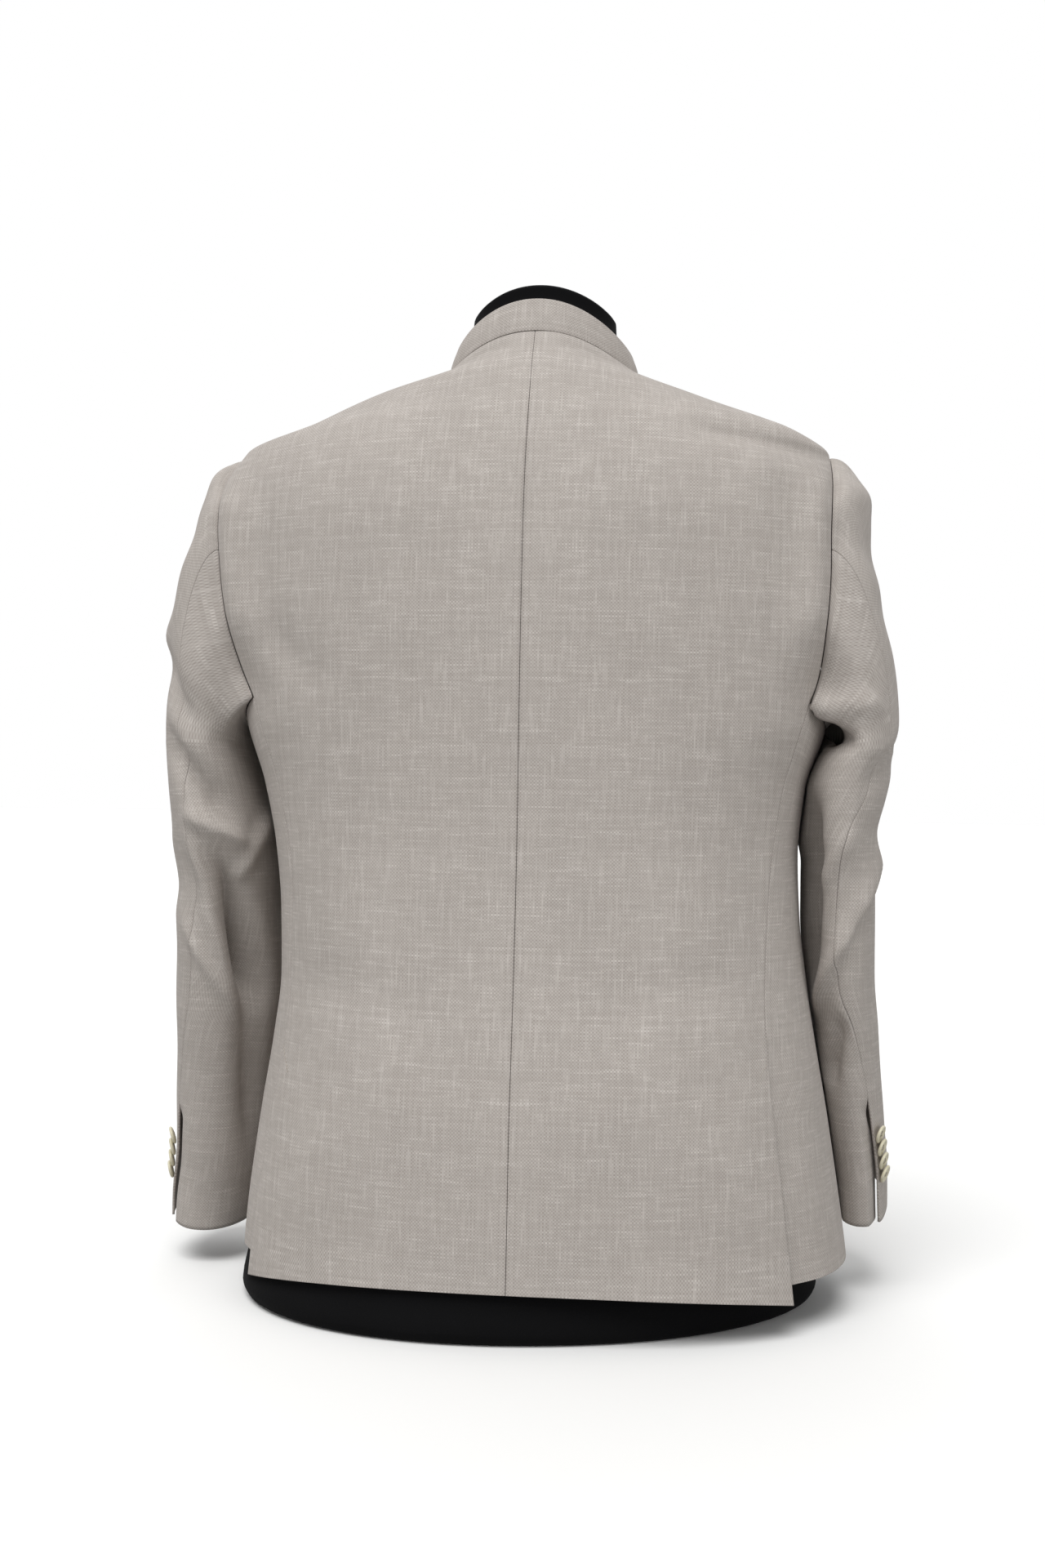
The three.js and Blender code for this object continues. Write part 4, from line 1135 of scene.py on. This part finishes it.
def sewn_thread(off, thick, drop):
    """Thread over a button, two loops that cross its middle and go down through its holes."""
    bm = bmesh.new()
    dish = thick * BUTTON_DISH
    for y in (-off, off):
        made = bmesh.ops.create_circle(bm, segments=8, radius=THREAD_RADIUS * MM, cap_ends=True)
        verts = made["verts"]
        bmesh.ops.translate(bm, verts=verts, vec=(off, y, -drop))
        faces = [f for f in bm.faces if all(v in verts for v in f.verts)]
        up = bmesh.ops.extrude_face_region(bm, geom=faces)["geom"]
        top = [v for v in up if isinstance(v, bmesh.types.BMVert)]
        bmesh.ops.translate(bm, verts=top, vec=(0, 0, drop + dish))
        cap = [f for f in up if isinstance(f, bmesh.types.BMFace)]
        arch = bmesh.ops.spin(
            bm,
            geom=cap + [e for f in cap for e in f.edges] + top,
            cent=(0, y, dish),
            axis=(0, 1, 0),
            angle=-math.pi,
            steps=10,
            use_merge=False,
        )["geom_last"]
        end = [f for f in arch if isinstance(f, bmesh.types.BMFace)]
        down = bmesh.ops.extrude_face_region(bm, geom=end)["geom"]
        low = [v for v in down if isinstance(v, bmesh.types.BMVert)]
        bmesh.ops.translate(bm, verts=low, vec=(0, 0, -drop - dish))
    # The crossing lies low over the dish.
    for v in bm.verts:
        above = v.co.z - dish
        if above > 0:
            v.co.z -= above * 0.55
    bmesh.ops.recalc_face_normals(bm, faces=bm.faces)
    return bm


def sew_button(name, centre, facing, across, settings, spin=0.0):
    """Places a button and its thread on a point, facing a direction; sizes in metres."""
    turn = Vector(facing).to_track_quat("Z", "Y").to_matrix().to_4x4()
    place = Matrix.Translation(Vector(centre)) @ turn @ Matrix.Rotation(spin, 4, "Z")
    thick = BUTTON_THICK * MM
    bm, off = turned_button(across, thick)
    bmesh.ops.transform(bm, matrix=place, verts=bm.verts)
    put_in_scene(name + "_turned", bm, polyester_button, settings, [name])
    bm = sewn_thread(off, thick, 0.0004)
    bmesh.ops.transform(bm, matrix=place, verts=bm.verts)
    put_in_scene(name + "_thread", bm, sewing_thread, settings)


def make_cuff_buttons(side, settings):
    """Four buttons along the vent, each lower one tipped onto the one above it."""
    count, across = settings.cuff_count, settings.cuff_button / MM
    tip = math.asin((BUTTON_THICK + SEAM) / CUFF_BUTTONS["pitch"])

    def place(k):
        z = CUFF[side] + CUFF_BUTTONS["first"] + CUFF_BUTTONS["pitch"] * (count - k)
        return track(SLEEVES[side], "seam", z) - CUFF_BUTTONS["inset"] / SLEEVE_ARC, float(z)

    for k in range(1, count + 1):
        (angle, z), (next_angle, next_z) = place(k), place(k + 1)
        p = sleeve_point(side, angle, z)
        down = unit(sleeve_point(side, next_angle, next_z) - p)
        around = sleeve_point(side, angle - 4, z) - sleeve_point(side, angle + 4, z)
        n = unit(np.cross(around, down))
        if n[0] * SIGN[side] < 0:
            n = -n
        facing = n * math.cos(tip) + down * math.sin(tip)
        # The vent's edge stands out a little here, and a tipped button's middle is lifted too.
        p += n * (SEAM + VENT_STAND * 0.3 + math.sin(tip) * across * 0.35)
        sew_button(f"cuff_button_{side}_{k}", p * MM, facing, across * MM, settings, 0.3 * k)


def make_front_buttons(settings):
    """One button at each height on the centre line, on the left front."""
    for k, z in enumerate(FRONT_BUTTONS, 1):
        at = "left", np.array(180.0), np.array(z)
        p, n = over_coat(*at, SEAM), coat_out(*at)
        sew_button(f"front_button_{k}", p * MM, n, settings.front_button, settings, 0.2 * k)


def lay_stitches(name, starts, ends, settings, radius=0.3):
    """Short straight stitches, half sunk in the cloth; points in millimetres."""
    bm = bmesh.new()
    for start, end in zip(starts, ends):
        run = Vector(end - start)
        turn = run.to_track_quat("Z", "Y").to_matrix().to_4x4()
        size = Matrix.Diagonal((radius * MM, radius * MM, run.length / 2 * MM, 1))
        place = Matrix.Translation(Vector((start + end) / 2 * MM)) @ turn @ size
        bmesh.ops.create_uvsphere(bm, u_segments=8, v_segments=6, radius=1.0, matrix=place)
    put_in_scene(name, bm, sewing_thread, settings)


def tack_vent(side, settings):
    """The slanted row of stitches that holds the top of the back's vent."""
    turn, drop = TACK[side]
    angle, z = back_seam(side, VENT_TOP + 6) - 0.8, VENT_TOP + 8

    def on_vent(u):
        down = z - drop * u
        return over_coat(side, angle - turn * u, down, VENT_STAND * vented(down) * 0.9 + 0.1)

    u = np.arange(TACK_STITCHES) / TACK_STITCHES
    ends = on_vent(u + TACK_COVER / TACK_STITCHES)
    lay_stitches(f"vent_tack_{side}", on_vent(u), ends, settings)


def stitch_buttonholes(settings):
    """Close stitches over both lips of a slit that starts under each front button."""
    along = np.linspace(BUTTONHOLE["start"], BUTTONHOLE["end"], BUTTONHOLE["stitches"])
    for k, z in enumerate(FRONT_BUTTONS, 1):
        starts, ends = [], []
        for lip in (-1, 1):
            starts += list(over_coat("left", along, z + lip * BUTTONHOLE["slit"], 0.05))
            ends += list(over_coat("left", along, z + lip * BUTTONHOLE["reach"], 0.05))
        lay_stitches(f"buttonhole_{k}", starts, ends, settings, 0.26)


def lay_floor(settings):
    """A floor so wide that its edges never show."""
    bm = bmesh.new()
    bmesh.ops.create_grid(bm, x_segments=8, y_segments=8, size=settings.floor_size / 2)
    mesh = bpy.data.meshes.new("studio_floor")
    bm.to_mesh(mesh)
    bm.free()
    mesh.materials.append(new_material("Rolled matt white paint", studio_floor, settings))
    floor = bpy.data.objects.new("studio_floor", mesh)
    bpy.context.scene.collection.objects.link(floor)


def light_surround(settings):
    """White behind the coat, and a weaker even light on it."""
    world = bpy.data.worlds.new("Even studio surround")
    world.use_nodes = True
    tree = world.node_tree
    tree.nodes.clear()
    seen = add(tree, "LightPath", {})
    strength = add(
        tree, "Mix", {0: seen.outputs["Is Camera Ray"], 2: settings.sky, 3: 1.0}, data_type="FLOAT"
    )
    light = {"Color": (1, 1, 1, 1), "Strength": strength}
    even = add(tree, "Background", light)
    add(tree, "OutputWorld", {"Surface": even})
    bpy.context.scene.world = world


def set_suns(settings):
    """Wide, soft suns that all look at the coat's foot."""
    for name, place, setting, share, width in SUNS:
        data = bpy.data.lights.new(name, "SUN")
        data.energy, data.angle = getattr(settings, setting) * share, math.radians(width)
        lamp = bpy.data.objects.new(name, data)
        lamp.location = place
        lamp.rotation_euler = Vector(place).to_track_quat("Z", "Y").to_euler()
        bpy.context.scene.collection.objects.link(lamp)


def set_camera():
    """The camera in the photograph's place, with its own small roll."""
    data = bpy.data.cameras.new("camera")
    data.lens, data.sensor_width = CAMERA["lens"], CAMERA["sensor"]
    camera = bpy.data.objects.new("camera", data)
    back = Vector(CAMERA["towards"])
    right = Vector((-back.y, back.x, 0))
    facing = Matrix((right, Vector((0, 0, 1)), back)).transposed().to_4x4()
    at = back * CAMERA["away"] + right * CAMERA["aside"] + Vector((0, 0, CAMERA["height"]))
    roll = Matrix.Rotation(math.radians(CAMERA["roll"]), 4, "Z")
    camera.matrix_world = Matrix.Translation(at) @ facing @ roll
    scene = bpy.context.scene
    scene.collection.objects.link(camera)
    scene.camera = camera
    scene.view_settings.view_transform = "Standard"


def size_setting(name, description, default, **limits):
    """A size that a user can change."""
    size = {"subtype": "DISTANCE", "unit": "LENGTH"}
    return FloatProperty(name=name, description=description, default=default, **size, **limits)


def colour_setting(name, description, text):
    """A colour that a user can change, from its sRGB hex value."""
    shown = {"subtype": "COLOR", "size": 3, "default": linear(text)[:3]}
    return FloatVectorProperty(name=name, description=description, **shown)


def strength_setting(name, description, default):
    """A light's strength that a user can change."""
    return FloatProperty(name=name, description=description, default=default, min=0)


class BlazerSettings(bpy.types.PropertyGroup):
    """Cloth and jersey"""

    cloth_wall: size_setting(
        "Cloth thickness",
        "Thickness of a piece with its fusing and hems",
        WALL * MM,
        min=0.0005,
        max=0.003,
    )
    thread_pitch: size_setting(
        "Yarn pitch", "Distance between two yarns as drawn", 0.00125, min=0.0003, max=0.004
    )
    slub_length: size_setting(
        "Slub length", "Length over which a yarn grows thick and thin", 0.03, min=0.002, max=0.2
    )
    ground_yarn: colour_setting("Ground yarn", "Main colour of the suiting", "#b0a9a3")
    slub_yarn: colour_setting("Slub yarn", "Colour of the thick light yarns", "#d2ccc6")
    shadow_yarn: colour_setting("Shadow yarn", "Colour between the yarns", "#857d76")
    jersey: colour_setting("Jersey", "Colour of the form's cover", "#060607")


class ButtonSettings(bpy.types.PropertyGroup):
    """Buttons and their thread"""

    cuff_button: size_setting("Cuff button", "Diameter of a cuff button", 0.015)
    front_button: size_setting("Front button", "Diameter of a front button", 0.02)
    cuff_count: IntProperty(
        name="Cuff buttons", description="Buttons on each cuff", default=4, min=1, max=4
    )
    button_light: colour_setting("Button light", "Pale layer of a button", "#e6e1cc")
    button_dark: colour_setting("Button dark", "Deep layer of a button", "#cdc5a6")
    thread: colour_setting("Thread", "Colour of the sewing thread", "#bfb6a8")


class StageSettings(bpy.types.PropertyGroup):
    """Floor and lights"""

    floor: colour_setting("Floor", "Colour of the floor", "#fafaf9")
    floor_size: size_setting("Floor size", "Width of the floor", 40.0)
    floor_bounce: strength_setting("Floor bounce", "Share of its light the floor throws back", 0.42)
    sky: strength_setting("Surround light", "Strength of the even light all round", 0.32)
    key: strength_setting("Key light", "Strength of the soft light from above the back", 2.2)
    sides: strength_setting("Side lights", "Strength of the low lights on both arms", 0.62)
    fill: strength_setting("Fill light", "Strength of the soft light on the front", 0.9)


class BLAZER_OT_form(bpy.types.Operator):
    """Make the limbless dress form in its jersey cover"""

    bl_idname = "blazer.form"
    bl_label = "Dress Form"

    def execute(self, context):
        make_form(context.scene.blazer)
        return {"FINISHED"}


class BLAZER_OT_body(bpy.types.Operator):
    """Make the two backs, two side bodies and two fronts"""

    bl_idname = "blazer.body"
    bl_label = "Body Panels"

    def execute(self, context):
        for side in SIDES:
            make_back(side, context.scene.blazer)
            make_side(side, context.scene.blazer)
            make_front(side, context.scene.blazer)
        return {"FINISHED"}


class BLAZER_OT_sleeves(bpy.types.Operator):
    """Make the two-piece sleeves with their cuff vents"""

    bl_idname = "blazer.sleeves"
    bl_label = "Sleeves"

    def execute(self, context):
        for side in SIDES:
            make_sleeve(side, context.scene.blazer)
        return {"FINISHED"}


class BLAZER_OT_collar(bpy.types.Operator):
    """Make the one-piece stand collar"""

    bl_idname = "blazer.collar"
    bl_label = "Stand Collar"

    def execute(self, context):
        make_collar(context.scene.blazer)
        return {"FINISHED"}


class BLAZER_OT_buttons(bpy.types.Operator):
    """Sew on the buttons, the vents' tacks and the buttonholes"""

    bl_idname = "blazer.buttons"
    bl_label = "Buttons"

    def execute(self, context):
        for side in SIDES:
            make_cuff_buttons(side, context.scene.blazer_buttons)
            tack_vent(side, context.scene.blazer_buttons)
        make_front_buttons(context.scene.blazer_buttons)
        stitch_buttonholes(context.scene.blazer_buttons)
        return {"FINISHED"}


class BLAZER_OT_stage(bpy.types.Operator):
    """Lay the floor and set the lights and the camera"""

    bl_idname = "blazer.stage"
    bl_label = "Stage"

    def execute(self, context):
        settings = context.scene.blazer_stage
        lay_floor(settings)
        light_surround(settings)
        set_suns(settings)
        set_camera()
        return {"FINISHED"}


class BLAZER_PT_panel(bpy.types.Panel):
    """Every setting, and a button for each operator"""

    bl_label = "Blazer"
    bl_idname = "BLAZER_PT_panel"
    bl_space_type = "VIEW_3D"
    bl_region_type = "UI"
    bl_category = "Blazer"

    def draw(self, context):
        for group, kind in GROUPS.items():
            for name in kind.__annotations__:
                self.layout.prop(getattr(context.scene, group), name)
        for operator in OPERATORS:
            self.layout.operator(operator.bl_idname)


OPERATORS = (
    BLAZER_OT_form,
    BLAZER_OT_body,
    BLAZER_OT_sleeves,
    BLAZER_OT_collar,
    BLAZER_OT_buttons,
    BLAZER_OT_stage,
)
GROUPS = {"blazer": BlazerSettings, "blazer_buttons": ButtonSettings, "blazer_stage": StageSettings}


def register():
    """Registers the settings, the operators and the panel."""
    for group in GROUPS.values():
        bpy.utils.register_class(group)
    for name, group in GROUPS.items():
        setattr(bpy.types.Scene, name, PointerProperty(type=group))
    for operator in OPERATORS:
        bpy.utils.register_class(operator)
    bpy.utils.register_class(BLAZER_PT_panel)


def unregister():
    """Takes them out again, in the other order."""
    bpy.utils.unregister_class(BLAZER_PT_panel)
    for operator in reversed(OPERATORS):
        bpy.utils.unregister_class(operator)
    for name in GROUPS:
        delattr(bpy.types.Scene, name)
    for group in reversed(GROUPS.values()):
        bpy.utils.unregister_class(group)


def main():
    """Registers the add-on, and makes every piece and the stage."""
    register()
    bpy.ops.blazer.form()
    bpy.ops.blazer.body()
    bpy.ops.blazer.sleeves()
    bpy.ops.blazer.collar()
    bpy.ops.blazer.buttons()
    bpy.ops.blazer.stage()


if __name__ == "__main__":
    main()
